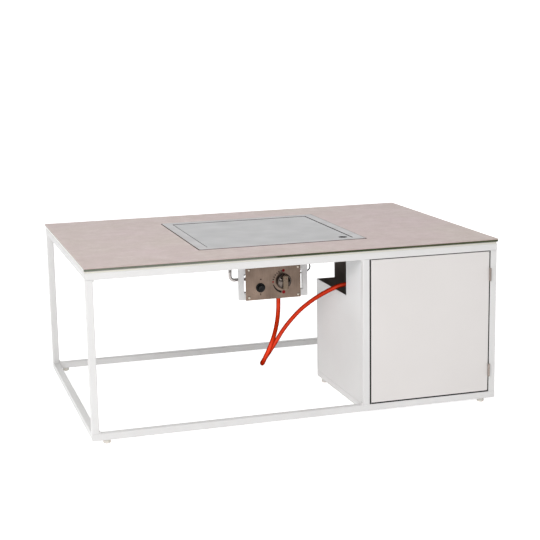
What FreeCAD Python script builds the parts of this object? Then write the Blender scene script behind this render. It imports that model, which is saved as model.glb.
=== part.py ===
import FreeCAD, Part
import Sketcher
import math
import os

Vector = FreeCAD.Vector
Rotation = FreeCAD.Rotation

# Driving dimensions in millimetres. The table stands on its glides at height 0,
# with +X to its right, +Y to its back and the middle of the top above the origin.
SIZES = {
    "table_length": 1200,
    "table_width": 800,
    "top_overhang": 3,
    "top_corner": 3,
    "ceramic_thickness": 3,
    "glass_thickness": 6,
    "pad_height": 5,
    "pad_radius": 8,
    "pad_offset": 220,
    "tube_side": 20,
    "tube_wall": 1.5,
    "tube_round": 2,
    "frame_height": 462,
    "weld_size": 6,
    "cross_rail_offset": 240,
    "glide_height": 10,
    "glide_radius": 10.5,
    "glide_neck": 8.5,
    "glide_bevel": 2,
    "glide_setback": 41,
    "inset_side": 500,
    "inset_gap": 1,
    "lid_side": 440,
    "lid_thickness": 5,
    "lid_gap": 0.8,
    "lid_corner": 2,
    "finger_hole_radius": 11,
    "finger_hole_inset": 24,
    "tray_sheet": 1.5,
    "tray_ledge": 12,
    "tray_depth": 55,
    "glass_clearance": 12,
    "burner_ring_radius": 130,
    "burner_pipe_radius": 8,
    "burner_lift": 14,
    "burner_port_radius": 1.2,
    "burner_ports": 24,
    "foot_block": 12,
    "seat_gap": 0.3,
    "rock_depth": 24,
    "rock_margin": 6,
    "pilot_width": 30,
    "pilot_depth": 14,
    "pilot_rod_radius": 1.5,
    "pilot_setback": 109,
    "inlet_across": 104,
    "inlet_forward": 62,
    "inlet_radius": 10,
    "inlet_height": 22,
    "bush_radius": 4,
    "bush_height": 4,
    "hanger_tube": 15,
    "hanger_wall": 1.2,
    "hanger_reach": 106,
    "hanger_front": 131.5,
    "hanger_drop": 127,
    "hanger_offset": 1.7,
    "hanger_bar_height": 20.5,
    "upper_bar_rise": 77.5,
    "plate_width": 167,
    "plate_height": 100,
    "plate_thickness": 1.5,
    "plate_drop": 2,
    "plate_screw_inset": 7.5,
    "plate_screw_low": 8.5,
    "plate_screw_high": 92,
    "screw_radius": 2,
    "screw_head_radius": 4,
    "screw_head_height": 2.4,
    "screw_length": 8,
    "screw_clearance": 0.1,
    "knob_across": 32,
    "knob_rise": 51,
    "knob_radius": 23,
    "knob_face_radius": 20,
    "knob_skirt": 7,
    "knob_gap": 3.5,
    "knob_grip_width": 16,
    "knob_grip_length": 42.4,
    "knob_grip_height": 14.5,
    "knob_grip_round": 3,
    "stem_radius": 4,
    "stem_hole_radius": 6,
    "stem_length": 44,
    "stem_travel": 3,
    "running_gap": 0.05,
    "valve_width": 40,
    "valve_depth": 40,
    "valve_height": 40,
    "valve_round": 3,
    "valve_boss_radius": 10,
    "valve_boss_length": 3.5,
    "magnet_radius": 8,
    "magnet_length": 20,
    "hose_across": 25,
    "hose_back": 100,
    "hose_radius": 6.5,
    "ferrule_radius": 7.6,
    "ferrule_length": 25,
    "inlet_nut_radius": 9.5,
    "inlet_nut_height": 12,
    "pipe_radius": 5,
    "pipe_bend": 13,
    "pipe_setback": 104,
    "pipe_rise": 8.5,
    "pipe_loop_across": 124.5,
    "pipe_riser": 30.5,
    "inlet_port_rise": 10,
    "pipe_nut_radius": 8,
    "pipe_nut_length": 10,
    "igniter_across": 39.5,
    "igniter_rise": 36.5,
    "igniter_radius": 11,
    "igniter_depth": 45.5,
    "bezel_radius": 14,
    "bezel_height": 4,
    "button_radius": 9,
    "button_gap": 0.3,
    "button_proud": 6,
    "button_length": 33,
    "button_travel": 4,
    "terminal_radius": 3,
    "terminal_length": 2,
    "lamp_across": 38.4,
    "lamp_rise": 61.8,
    "lamp_radius": 2,
    "lamp_proud": 0.6,
    "lead_radius": 2,
    "cabinet_left": 183,
    "cabinet_back": 4,
    "sheet": 1.5,
    "panel_seam": 0.4,
    "notch_front": 260,
    "notch_height": 323.5,
    "notch_width": 59,
    "vent_width": 90,
    "vent_height": 8,
    "vent_pitch": 24,
    "vent_count": 5,
    "vent_side": 420,
    "door_gap_post": 4.5,
    "door_gap_hinge": 3,
    "door_gap_low": 3.5,
    "door_gap_high": 2,
    "door_depth": 16,
    "door_sheet": 1.5,
    "door_corner": 5,
    "door_edge": 1.8,
    "hinge_radius": 3.5,
    "hinge_length": 37,
    "hinge_proud": 2.8,
    "hinge_low": 96,
    "hinge_high": 382,
    "hinge_pin_radius": 1.5,
    "hinge_pin_head": 2.6,
    "hinge_leaf": 1.2,
    "hinge_leaf_depth": 16,
    "knuckle_gap": 0.35,
    "catch_height": 24,
    "catch_level": 283,
    "catch_depth": 14,
    "catch_overlap": 13,
    "strike_thickness": 1.5,
    "strike_width": 15,
    "regulator_across": 262,
    "regulator_level": 52,
    "regulator_hose_end": 104,
    "regulator_tail_radius": 8,
    "regulator_tail_length": 22,
    "regulator_disc_radius": 31,
    "regulator_disc_rise": 12,
    "regulator_cap_radius": 22,
    "regulator_cap_height": 8,
    "regulator_neck_radius": 9,
    "regulator_neck_length": 22,
    "wheel_radius": 17,
    "wheel_length": 14,
    "wheel_grip_radius": 4,
    "wheel_grips": 6,
}

document = FreeCAD.newDocument("FirePitTable")
sheet_of_sizes = document.addObject("Spreadsheet::Sheet", "Sizes")
for row, (alias, amount) in enumerate(SIZES.items(), start=1):
    sheet_of_sizes.set("A%d" % row, alias)
    sheet_of_sizes.set("B%d" % row, str(amount))
    sheet_of_sizes.setAlias("B%d" % row, alias)
document.recompute()


class Size:
    """A length that keeps its number beside the formula that gives it."""

    def __init__(self, text, value):
        self.text = text
        self.value = float(value)

    def __add__(self, other):
        return combine(self, "+", other, self.value + as_size(other).value)

    def __radd__(self, other):
        return as_size(other) + self

    def __sub__(self, other):
        return combine(self, "-", other, self.value - as_size(other).value)

    def __rsub__(self, other):
        return as_size(other) - self

    def __mul__(self, other):
        return combine(self, "*", other, self.value * as_size(other).value)

    def __rmul__(self, other):
        return as_size(other) * self

    def __truediv__(self, other):
        return combine(self, "/", other, self.value / as_size(other).value)

    def __neg__(self):
        return as_size(0) - self

    def __float__(self):
        return self.value


def as_size(amount):
    if isinstance(amount, Size):
        return amount
    return Size("(%r)" % amount, amount)


def combine(first, sign, second, value):
    return Size("(%s %s %s)" % (first.text, sign, as_size(second).text), value)


def named(alias):
    return Size("Sizes." + alias, sheet_of_sizes.get(alias))


def bind(thing, prop, amount):
    thing.setExpression(prop, as_size(amount).text)


def seat(thing, place):
    for letter, amount in zip("xyz", place):
        bind(thing, "Placement.Base." + letter, amount)


parts = {}


def keep(node, thing):
    """Label a finished sub-part with its node's name and list it for export."""
    thing.Label = node
    parts[node] = thing
    return thing


# Shapes that the pieces are made from.

TURNS = {
    "X": Rotation(Vector(0, 1, 0), 90),
    "Y": Rotation(Vector(1, 0, 0), -90),
    "Z": Rotation(),
}
DIRECTIONS = {"X": Vector(1, 0, 0), "Y": Vector(0, 1, 0), "Z": Vector(0, 0, 1)}


def block(name, x, y, z):
    """A box between a low and a high place on each axis."""
    box = document.addObject("Part::Box", name)
    for prop, (low, high) in zip(("Length", "Width", "Height"), (x, y, z)):
        bind(box, prop, as_size(high) - low)
    seat(box, (x[0], y[0], z[0]))
    return box


def rod(name, axis, radius, start, length):
    """A cylinder that starts at a point and runs along one axis."""
    cylinder = document.addObject("Part::Cylinder", name)
    cylinder.Placement = FreeCAD.Placement(Vector(), TURNS[axis])
    bind(cylinder, "Radius", radius)
    bind(cylinder, "Height", length)
    seat(cylinder, start)
    return cylinder


def cone(name, axis, radius, end_radius, start, length):
    tapered = document.addObject("Part::Cone", name)
    tapered.Placement = FreeCAD.Placement(Vector(), TURNS[axis])
    bind(tapered, "Radius1", radius)
    bind(tapered, "Radius2", end_radius)
    bind(tapered, "Height", length)
    seat(tapered, start)
    return tapered


def fuse(name, pieces):
    joined = document.addObject("Part::MultiFuse", name)
    joined.Shapes = pieces
    joined.Refine = True
    return joined


def cut(name, base, tools):
    result = document.addObject("Part::Cut", name)
    result.Base = base
    result.Tool = tools[0] if len(tools) == 1 else fuse(name + "Tools", tools)
    return result


def group(name, pieces):
    """Separate solids that share one node."""
    compound = document.addObject("Part::Compound", name)
    compound.Links = pieces
    return compound


def round_edges(name, base, radius, chosen):
    """Round the edges of a shape that the test picks out."""
    document.recompute()
    fillet = document.addObject("Part::Fillet", name)
    fillet.Base = base
    picked = [index for index, edge in enumerate(base.Shape.Edges, start=1) if chosen(edge)]
    fillet.Edges = [(index, float(radius), float(radius)) for index in picked]
    return fillet


def runs_along(axis):
    """A test for straight edges that lie along one axis."""
    direction = DIRECTIONS[axis]

    def test(edge):
        if not isinstance(edge.Curve, Part.Line):
            return False
        return abs(edge.Curve.Direction.dot(direction)) > 0.999

    return test


def rim_before(face):
    """A test for the round edges that lie in front of a face."""

    def test(edge):
        return edge.BoundBox.YMax < float(face) - 0.01

    return test


def inward(pair, wall):
    return (pair[0] + wall, pair[1] - wall)


def straight_tube(name, axis, x, y, z, wall, corner, caps=(False, False), holes=()):
    """A square tube with rounded corners; a cap closes an end that shows."""
    outer = round_edges(name + "Outer", block(name + "Bar", x, y, z), corner, runs_along(axis))
    spans = {"X": x, "Y": y, "Z": z}
    hollow = {letter: span if letter == axis else inward(span, wall) for letter, span in spans.items()}
    low, high = hollow[axis]
    hollow[axis] = (low + wall if caps[0] else low, high - wall if caps[1] else high)
    bore = block(name + "Bore", hollow["X"], hollow["Y"], hollow["Z"])
    return cut(name, outer, [bore] + list(holes))


def wedge(name, axis, low, low_run, high, high_run, z):
    """A bar whose ends are cut on the slant between its low and its high side."""
    bar = document.addObject("Part::Wedge", name)
    if axis == "Y":
        bar.Placement = FreeCAD.Placement(Vector(), Rotation(Vector(0, 0, 1), -90))
        low_run = (-as_size(low_run[1]), -as_size(low_run[0]))
        high_run = (-as_size(high_run[1]), -as_size(high_run[0]))
    limits = {
        "Ymin": low, "Xmin": low_run[0], "Xmax": low_run[1],
        "Ymax": high, "X2min": high_run[0], "X2max": high_run[1],
        "Zmin": z[0], "Zmax": z[1], "Z2min": z[0], "Z2max": z[1],
    }
    for prop, amount in limits.items():
        bind(bar, prop, amount)
    return bar


def mitred_tube(node, axis, low, low_run, high, high_run, z):
    """A square tube with slanted ends, hollow from end to end."""
    bar = wedge(node + "Bar", axis, low, low_run, high, high_run, z)
    outer = round_edges(node + "Outer", bar, tube_round, runs_along(axis))
    share = tube_wall / tube_side
    near = tuple(a + (b - a) * share for a, b in zip(low_run, high_run))
    far = tuple(b + (a - b) * share for a, b in zip(low_run, high_run))
    bore = wedge(node + "Bore", axis, low + tube_wall, near, high - tube_wall, far, inward(z, tube_wall))
    return keep(node, cut(node, outer, [bore]))


# Sketched bodies. A plate is drawn on one of its body's origin planes.

def new_body(name):
    return document.addObject("PartDesign::Body", name)


def sketch_on(body, name, plane, offset):
    sketch = body.newObject("Sketcher::SketchObject", name)
    support = next(item for item in body.Origin.OriginFeatures if item.Role == plane)
    sketch.AttachmentSupport = [(support, "")]
    sketch.MapMode = "FlatFace"
    bind(sketch, "AttachmentOffset.Base.z", offset)
    return sketch


def measure(sketch, kind, places, amount):
    index = sketch.addConstraint(Sketcher.Constraint(kind, *places, float(amount)))
    bind(sketch, "Constraints[%d]" % index, amount)


def rectangle(sketch, across, along):
    """A rectangle between a low and a high place across and along the sketch."""
    (left, right), (low, high) = [[as_size(value) for value in pair] for pair in (across, along)]
    first = sketch.GeometryCount
    corners = [(left, low), (right, low), (right, high), (left, high)]
    points = [Vector(float(u), float(v), 0) for u, v in corners]
    for side in range(4):
        sketch.addGeometry(Part.LineSegment(points[side], points[(side + 1) % 4]), False)
    for side in range(4):
        ends = (first + side, 2, first + (side + 1) % 4, 1)
        sketch.addConstraint(Sketcher.Constraint("Coincident", *ends))
        sketch.addConstraint(Sketcher.Constraint(("Horizontal", "Vertical")[side % 2], first + side))
    measure(sketch, "DistanceX", (-1, 1, first, 1), left)
    measure(sketch, "DistanceY", (-1, 1, first, 1), low)
    measure(sketch, "DistanceX", (-1, 1, first + 2, 1), right)
    measure(sketch, "DistanceY", (-1, 1, first + 2, 1), high)


def square(sketch, side):
    rectangle(sketch, (-side / 2, side / 2), (-side / 2, side / 2))


def circle(sketch, across, along, radius):
    first = sketch.GeometryCount
    centre = Vector(float(across), float(along), 0)
    sketch.addGeometry(Part.Circle(centre, Vector(0, 0, 1), float(radius)), False)
    measure(sketch, "Radius", (first,), radius)
    measure(sketch, "DistanceX", (-1, 1, first, 3), across)
    measure(sketch, "DistanceY", (-1, 1, first, 3), along)


def pad(body, sketch, length):
    feature = body.newObject("PartDesign::Pad", sketch.Name + "Pad")
    feature.Profile = sketch
    bind(feature, "Length", length)
    sketch.Visibility = False
    return feature


def pocket(body, sketch, depth):
    """Cut a sketch into the solid on its near side, and make sure that it cuts."""
    document.recompute()
    before = body.Shape.Volume
    feature = body.newObject("PartDesign::Pocket", sketch.Name + "Pocket")
    feature.Profile = sketch
    feature.Reversed = True
    bind(feature, "Length", depth)
    document.recompute()
    if body.Shape.Volume > before - float(depth):
        raise ValueError(feature.Name + " cuts nothing")
    return feature


def round_body(body, base, radius, chosen):
    document.recompute()
    feature = body.newObject("PartDesign::Fillet", base.Name + "Round")
    picked = ["Edge%d" % index for index, edge in enumerate(base.Shape.Edges, start=1) if chosen(edge)]
    feature.Base = (base, picked)
    bind(feature, "Radius", radius)
    return feature


def outermost(axis, distance):
    """A test for edges along an axis that lie far from it, as a plate's corners do."""
    along = runs_along(axis)

    def test(edge):
        middle = edge.CenterOfMass - DIRECTIONS[axis] * edge.CenterOfMass.dot(DIRECTIONS[axis])
        return along(edge) and middle.Length > distance

    return test


def ring_of_sheet(body, name, outer, inner, low, high):
    """One square layer of a folded tray, open inside where inner is given."""
    sketch = sketch_on(body, name, "XY_Plane", low)
    square(sketch, outer)
    if inner is not None:
        square(sketch, inner)
    return pad(body, sketch, high - low)


def square_plate(node, length, width, opening, low, high, corner):
    """A sheet of the table top with its square opening."""
    body = new_body(node)
    sketch = sketch_on(body, node + "Outline", "XY_Plane", low)
    rectangle(sketch, (-length / 2, length / 2), (-width / 2, width / 2))
    square(sketch, opening)
    plate = pad(body, sketch, high - low)
    round_body(body, plate, corner, outermost("Z", float(width) / 2))
    return keep(node, body)


# Routes of the hose, the leads and the pipe.

ARC_SHARE = 0.45


def vector(place):
    return Vector(*[float(value) for value in place])


def unit(direction):
    return direction * (1 / direction.Length)


def route_edges(points, radius=None):
    """Straight runs joined by tangent arcs, of one radius or as large as the runs allow."""
    edges = []
    radii = []
    start = points[0]
    for before, corner, after in zip(points, points[1:], points[2:]):
        back = unit(before - corner)
        ahead = unit(after - corner)
        half_turn = (math.pi - back.getAngle(ahead)) / 2
        shorter = min((before - corner).Length, (after - corner).Length)
        reach = radius * math.tan(half_turn) if radius else ARC_SHARE * shorter
        bend = reach / math.tan(half_turn)
        entry = corner + back * reach
        leave = corner + ahead * reach
        middle = corner + unit(back + ahead) * (bend / math.cos(half_turn) - bend)
        edges.append(Part.LineSegment(start, entry).toShape())
        edges.append(Part.Arc(entry, middle, leave).toShape())
        radii.append(bend)
        start = leave
    edges.append(Part.LineSegment(start, points[-1]).toShape())
    return edges, radii


def tube_along(node, points, tube_radius, bend=None):
    """A round tube along a route; prints its bends and compares its volume with its length."""
    points = [vector(point) for point in points]
    edges, radii = route_edges(points, bend)
    path = Part.Wire(edges)
    section = Part.Wire(Part.makeCircle(float(tube_radius), points[0], points[1] - points[0]))
    solid = path.makePipeShell([section], True, False)
    thing = document.addObject("Part::Feature", node)
    thing.Shape = solid
    share = solid.Volume / (math.pi * float(tube_radius) ** 2 * path.Length)
    print("%s: length %.0f, volume over section times length %.4f" % (node, path.Length, share))
    print("  bend radii %s" % " ".join("%.0f" % bend_radius for bend_radius in radii))
    return keep(node, thing)


# Levels and outlines shared by many pieces.

tube_side = named("tube_side")
tube_wall = named("tube_wall")
tube_round = named("tube_round")
floor_clearance = named("glide_height")
frame_x = named("table_length") / 2 - named("top_overhang")
frame_y = named("table_width") / 2 - named("top_overhang")
inner_x = frame_x - tube_side
inner_y = frame_y - tube_side
frame_top = floor_clearance + named("frame_height")
low_rail = (floor_clearance, floor_clearance + tube_side)
high_rail = (frame_top - tube_side, frame_top)
leg_span = (low_rail[1], high_rail[0])
glass_low = frame_top + named("pad_height")
ceramic_low = glass_low + named("glass_thickness")
table_top = ceramic_low + named("ceramic_thickness")
cabinet_left = named("cabinet_left")
post_right = cabinet_left + tube_side
cabinet_back = named("cabinet_back")
cabinet_inner_back = cabinet_back - tube_side


# Welded frame: two mitred rectangles of square tube, joined by the legs and the cabinet's post.

def rectangle_of_tubes(level, z):
    mitred_tube(level + "_rail_front", "X", -frame_y, (-frame_x, frame_x), -inner_y, (-inner_x, inner_x), z)
    mitred_tube(level + "_rail_back", "X", inner_y, (-inner_x, inner_x), frame_y, (-frame_x, frame_x), z)
    mitred_tube(level + "_rail_left", "Y", -frame_x, (-frame_y, frame_y), -inner_x, (-inner_y, inner_y), z)
    mitred_tube(level + "_rail_right", "Y", inner_x, (-inner_y, inner_y), frame_x, (-frame_y, frame_y), z)


def upright(node, x, y):
    keep(node, straight_tube(node, "Z", x, y, leg_span, tube_wall, tube_round))


left_of_frame = (-frame_x, -inner_x)
right_of_frame = (inner_x, frame_x)
front_of_frame = (-frame_y, -inner_y)
back_of_frame = (inner_y, frame_y)

rectangle_of_tubes("bottom", low_rail)
rectangle_of_tubes("top", high_rail)
upright("leg_front_left", left_of_frame, front_of_frame)
upright("leg_front_right", right_of_frame, front_of_frame)
upright("leg_back_left", left_of_frame, back_of_frame)
upright("leg_back_right", right_of_frame, back_of_frame)
upright("cabinet_post", (cabinet_left, post_right), front_of_frame)

mitred_tube("cabinet_rail_left", "Y", cabinet_left, (-inner_y, cabinet_back),
            post_right, (-inner_y, cabinet_inner_back), low_rail)
mitred_tube("cabinet_rail_back", "X", cabinet_inner_back, (post_right, inner_x),
            cabinet_back, (cabinet_left, inner_x), low_rail)

cross_rails = [
    straight_tube("CrossRail" + tag, "X", (-inner_x, inner_x),
                  (middle - tube_side / 2, middle + tube_side / 2), high_rail, tube_wall, tube_round)
    for tag, middle in (("Front", -named("cross_rail_offset")), ("Back", named("cross_rail_offset")))
]
keep("cross_rails", group("CrossRails", cross_rails))


# Weld fillets: a small concave bead in each corner of the frame's openings.

def weld(corner, toward, across, axis, span):
    """A bead in a corner, hollowed to an arc, over one tube's width."""
    size = float(named("weld_size"))
    base = Vector(*[float(value) for value in corner])
    first = base + toward * size
    second = base + across * size
    middle = base + (toward + across) * (size * (1 - math.sqrt(0.5)))
    outline = [
        Part.LineSegment(base, first).toShape(),
        Part.Arc(first, middle, second).toShape(),
        Part.LineSegment(second, base).toShape(),
    ]
    bead = Part.Face(Part.Wire(outline)).extrude(DIRECTIONS[axis] * float(span[1] - span[0]))
    bead.translate(DIRECTIONS[axis] * float(span[0]))
    return bead


def opening_beads(axis, span, run, low_sides):
    """Beads in the corners of an upright opening; each side is a place and its inward direction."""
    beads = []
    for place, inwards in low_sides:
        for level, vertical in ((leg_span[0], Vector(0, 0, 1)), (leg_span[1], Vector(0, 0, -1))):
            corner = (place, 0, level) if run == "X" else (0, place, level)
            beads.append(weld(corner, DIRECTIONS[run] * inwards, vertical, axis, span))
    return beads


bead_front = inward(front_of_frame, tube_round)
bead_back = inward(back_of_frame, tube_round)
bead_left = inward(left_of_frame, tube_round)
bead_right = inward(right_of_frame, tube_round)
beads = opening_beads("Y", bead_front, "X",
                      ((-inner_x, 1), (cabinet_left, -1), (post_right, 1), (inner_x, -1)))
beads += opening_beads("Y", bead_back, "X", ((-inner_x, 1), (inner_x, -1)))
beads += opening_beads("X", bead_left, "Y", ((-inner_y, 1), (inner_y, -1)))
beads += opening_beads("X", bead_right, "Y", ((inner_y, -1),))
weld_beads = document.addObject("Part::Feature", "WeldBeads")
weld_beads.Shape = Part.makeCompound(beads)
keep("weld_beads", weld_beads)


# Glides: round plastic feet under the bottom rails.

def glide(name, x, y):
    bevel = named("glide_bevel")
    sole = cone(name + "Sole", "Z", named("glide_neck"), named("glide_radius"), (x, y, 0), bevel)
    disc = cone(name + "Disc", "Z", named("glide_radius"), named("glide_neck"), (x, y, bevel),
                floor_clearance - bevel)
    return fuse(name, [sole, disc])


glide_x = frame_x - named("glide_setback")
rail_middle_y = frame_y - tube_side / 2
glides = [
    glide("GlideFrontLeft", -glide_x, -rail_middle_y),
    glide("GlideFrontRight", glide_x, -rail_middle_y),
    glide("GlideBackLeft", -glide_x, rail_middle_y),
    glide("GlideBackRight", glide_x, rail_middle_y),
    glide("GlideCabinet", cabinet_left + tube_side / 2, cabinet_back - named("glide_setback")),
]
keep("glides", group("Glides", glides))


# Table top: a ceramic sheet bonded to a sheet of dark glass, on rubber pads.

def glass_pad(name, x, y):
    return rod(name, "Z", named("pad_radius"), (x, y, frame_top), named("pad_height"))


rail_middle_x = frame_x - tube_side / 2
pad_offset = named("pad_offset")
cross = named("cross_rail_offset")
pad_places = [(-rail_middle_x, -pad_offset), (-rail_middle_x, pad_offset), (rail_middle_x, -pad_offset),
              (rail_middle_x, pad_offset)]
pad_places += [(x, y) for x in (-cabinet_left * 2, cabinet_left * 2) for y in (-cross, cross)]
pads = [glass_pad("GlassPad%d" % number, x, y) for number, (x, y) in enumerate(pad_places, start=1)]
keep("glass_pads", group("GlassPads", pads))

length = named("table_length")
width = named("table_width")
inset_side = named("inset_side")
lid_side = named("lid_side")
tray_sheet = named("tray_sheet")
neck_inner = lid_side + named("lid_gap") * 2
neck_outer = neck_inner + tray_sheet * 2
glass_opening = neck_outer + named("glass_clearance") * 2
square_plate("glass_sheet", length, width, glass_opening, glass_low, ceramic_low, named("top_corner"))
square_plate("ceramic_top", length, width, inset_side + named("inset_gap") * 2, ceramic_low, table_top,
             named("top_corner"))


# Burner tray: a stainless rim flush with the ceramic, a ledge for the lid and a pan.

lid_low = table_top - named("lid_thickness")
ledge_low = lid_low - tray_sheet
pan_inner = neck_inner - named("tray_ledge") * 2
pan_outer = pan_inner + tray_sheet * 2
pan_low = table_top - named("tray_depth")
pan_floor = pan_low + tray_sheet

tray = new_body("BurnerTray")
ring_of_sheet(tray, "TrayRim", inset_side, neck_inner, ceramic_low, table_top)
ring_of_sheet(tray, "TrayNeck", neck_outer, neck_inner, lid_low, ceramic_low)
ring_of_sheet(tray, "TrayLedge", neck_outer, pan_inner, ledge_low, lid_low)
ring_of_sheet(tray, "TrayWall", pan_outer, pan_inner, pan_floor, ledge_low)
ring_of_sheet(tray, "TrayFloor", pan_outer, None, pan_low, pan_floor)
keep("burner_tray", tray)


# Lid: a flush plate with a finger hole in its right front corner.

lid = new_body("Lid")
lid_sketch = sketch_on(lid, "LidOutline", "XY_Plane", lid_low)
square(lid_sketch, lid_side)
finger_place = lid_side / 2 - named("finger_hole_inset")
circle(lid_sketch, finger_place, -finger_place, named("finger_hole_radius"))
lid_plate = pad(lid, lid_sketch, named("lid_thickness"))
round_body(lid, lid_plate, named("lid_corner"), outermost("Z", float(lid_side) / 2))
keep("lid", lid)


# Burner: a ring of pipe with gas ports, on blocks, and the lava stones round it.

seat_gap = named("seat_gap")
ring_radius = named("burner_ring_radius")
burner_radius = named("burner_pipe_radius")
ring_level = pan_floor + named("burner_lift")


def ring_pipe(name, radius):
    torus = document.addObject("Part::Torus", name)
    bind(torus, "Radius1", ring_radius)
    bind(torus, "Radius2", radius)
    seat(torus, (0, 0, ring_level))
    return torus


def ports():
    holes = []
    count = int(named("burner_ports").value)
    for number in range(count):
        angle = 2 * math.pi * (number + 0.5) / count
        place = (ring_radius * math.cos(angle), ring_radius * math.sin(angle), ring_level)
        holes.append(rod("Port%d" % number, "Z", named("burner_port_radius"), place, burner_radius * 2))
    return holes


keep("burner_ring", cut("BurnerRing", ring_pipe("RingPipe", burner_radius), ports()))

blocks = []
half_block = named("foot_block") / 2
diagonal = ring_radius * math.sqrt(0.5)
for number, (side_x, side_y) in enumerate(((-1, -1), (1, -1), (1, 1), (-1, 1)), start=1):
    x = diagonal * side_x
    y = diagonal * side_y
    blocks.append(block("BurnerBlock%d" % number, (x - half_block, x + half_block),
                        (y - half_block, y + half_block), (pan_floor, ring_level - burner_radius - seat_gap)))
keep("burner_blocks", group("BurnerBlocks", blocks))

rock_half = pan_inner / 2 - named("rock_margin")
rock_heap = block("RockHeap", (-rock_half, rock_half), (-rock_half, rock_half),
                  (ring_level, ring_level + named("rock_depth")))
rock_heap = round_edges("RockHeapRound", rock_heap, named("rock_margin"), runs_along("Z"))
keep("lava_rocks", cut("LavaRocks", rock_heap, [ring_pipe("RingChannel", burner_radius + seat_gap)]))

pilot_half = named("pilot_width") / 2
pilot_back = -named("pilot_setback") + named("pilot_depth") / 2
pilot_front = pilot_back - named("pilot_depth")
pilot_plate = block("PilotPlate", (-pilot_half, pilot_half), (pilot_front, pilot_back),
                    (pan_floor, pan_floor + tray_sheet))
pilot_rods = [
    rod(name, "Z", named("pilot_rod_radius"), (pilot_half * side, -named("pilot_setback"), pan_floor),
        ring_level - pan_floor - tray_sheet)
    for name, side in (("SparkRod", -0.5), ("HeatProbe", 0.5))
]
keep("pilot_electrodes", fuse("PilotElectrodes", [pilot_plate] + pilot_rods))


# Gas inlet block and lead bushes under the tray.

inlet_x = -named("inlet_across")
inlet_y = -named("inlet_forward")
inlet_low = pan_low - named("inlet_height")
keep("burner_inlet", rod("BurnerInlet", "Z", named("inlet_radius"), (inlet_x, inlet_y, inlet_low),
                         named("inlet_height")))

bush_low = pan_low - named("bush_height")
SPARK_BUSH = (-68, -86)
PROBE_BUSH = (118, -91)
bushes = [rod(name, "Z", named("bush_radius"), (x, y, bush_low), named("bush_height"))
          for name, (x, y) in (("SparkBush", SPARK_BUSH), ("ProbeBush", PROBE_BUSH))]
keep("lead_bushes", group("LeadBushes", bushes))


# Hanger: two arms and two bars of small square tube, welded under the tray.

hanger_tube = named("hanger_tube")
hanger_wall = named("hanger_wall")
hanger_front = -named("hanger_front")
hanger_back = hanger_front + hanger_tube
arm_outer = named("hanger_reach")
arm_inner = arm_outer - hanger_tube
hanger_low = pan_low - named("hanger_drop")
hanger_depth = (hanger_front, hanger_back)
hanger_middle = named("hanger_offset")
lower_bar = (hanger_low, hanger_low + named("hanger_bar_height"))
upper_bar = tuple(level + named("upper_bar_rise") for level in lower_bar)


def hanger_arm(node, x):
    keep(node, straight_tube(node, "Z", x, hanger_depth, (hanger_low, pan_low), hanger_wall, hanger_wall,
                             caps=(True, False)))


hanger_arm("hanger_arm_left", (hanger_middle - arm_outer, hanger_middle - arm_inner))
hanger_arm("hanger_arm_right", (hanger_middle + arm_inner, hanger_middle + arm_outer))

plate_low = hanger_low - named("plate_drop")
screw_across = named("plate_width") / 2 - named("plate_screw_inset")
screw_left = hanger_middle - screw_across
screw_right = hanger_middle + screw_across
screw_low = plate_low + named("plate_screw_low")
screw_high = plate_low + named("plate_screw_high")
screw_hole = named("screw_radius") + named("screw_clearance")


def hanger_bar(node, z, screw_level):
    """A bar between the arms, with clearance holes for two of the plate's screws."""
    holes = [rod(node + tag, "Y", screw_hole, (x, hanger_front, screw_level), hanger_wall * 2)
             for tag, x in (("HoleLeft", screw_left), ("HoleRight", screw_right))]
    span = (hanger_middle - arm_inner, hanger_middle + arm_inner)
    keep(node, straight_tube(node, "X", span, hanger_depth, z, hanger_wall, hanger_wall, holes=holes))


hanger_bar("hanger_bar_low", lower_bar, screw_low)
hanger_bar("hanger_bar_high", upper_bar, screw_high)


# Control plate: brushed steel with holes for its screws, the valve, the igniter and the lamp.

knob_x = named("knob_across")
knob_z = plate_low + named("knob_rise")
igniter_x = -named("igniter_across")
igniter_z = plate_low + named("igniter_rise")
lamp_x = -named("lamp_across")
lamp_z = plate_low + named("lamp_rise")
plate_front = hanger_front - named("plate_thickness")
running_gap = named("running_gap")
stem_radius = named("stem_radius")
igniter_radius = named("igniter_radius")
lamp_radius = named("lamp_radius")

control_plate = new_body("ControlPlate")
plate_sketch = sketch_on(control_plate, "PlateOutline", "XZ_Plane", -hanger_front)
plate_half = named("plate_width") / 2
rectangle(plate_sketch, (hanger_middle - plate_half, hanger_middle + plate_half),
          (plate_low, plate_low + named("plate_height")))
circle(plate_sketch, knob_x, knob_z, named("stem_hole_radius"))
circle(plate_sketch, igniter_x, igniter_z, igniter_radius + running_gap)
circle(plate_sketch, lamp_x, lamp_z, lamp_radius + running_gap)
for level in (screw_low, screw_high):
    for place in (screw_left, screw_right):
        circle(plate_sketch, place, level, screw_hole)
pad(control_plate, plate_sketch, named("plate_thickness"))
keep("control_plate", control_plate)


def plate_screw(name, x, z):
    shank = rod(name + "Shank", "Y", named("screw_radius"), (x, plate_front, z), named("screw_length"))
    head = rod(name + "Head", "Y", named("screw_head_radius"),
               (x, plate_front - named("screw_head_height"), z), named("screw_head_height"))
    domed = round_edges(name + "Dome", head, named("screw_head_height") / 2, rim_before(plate_front))
    return fuse(name, [shank, domed])


screws = [plate_screw("Screw%d" % number, x, z) for number, (x, z) in enumerate(
    ((screw_left, screw_low), (screw_right, screw_low),
     (screw_left, screw_high), (screw_right, screw_high)), start=1)]
keep("plate_screws", group("PlateScrews", screws))


# Gas valve: its body hangs behind the plate on a round boss; the stem slides when pushed.

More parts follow.
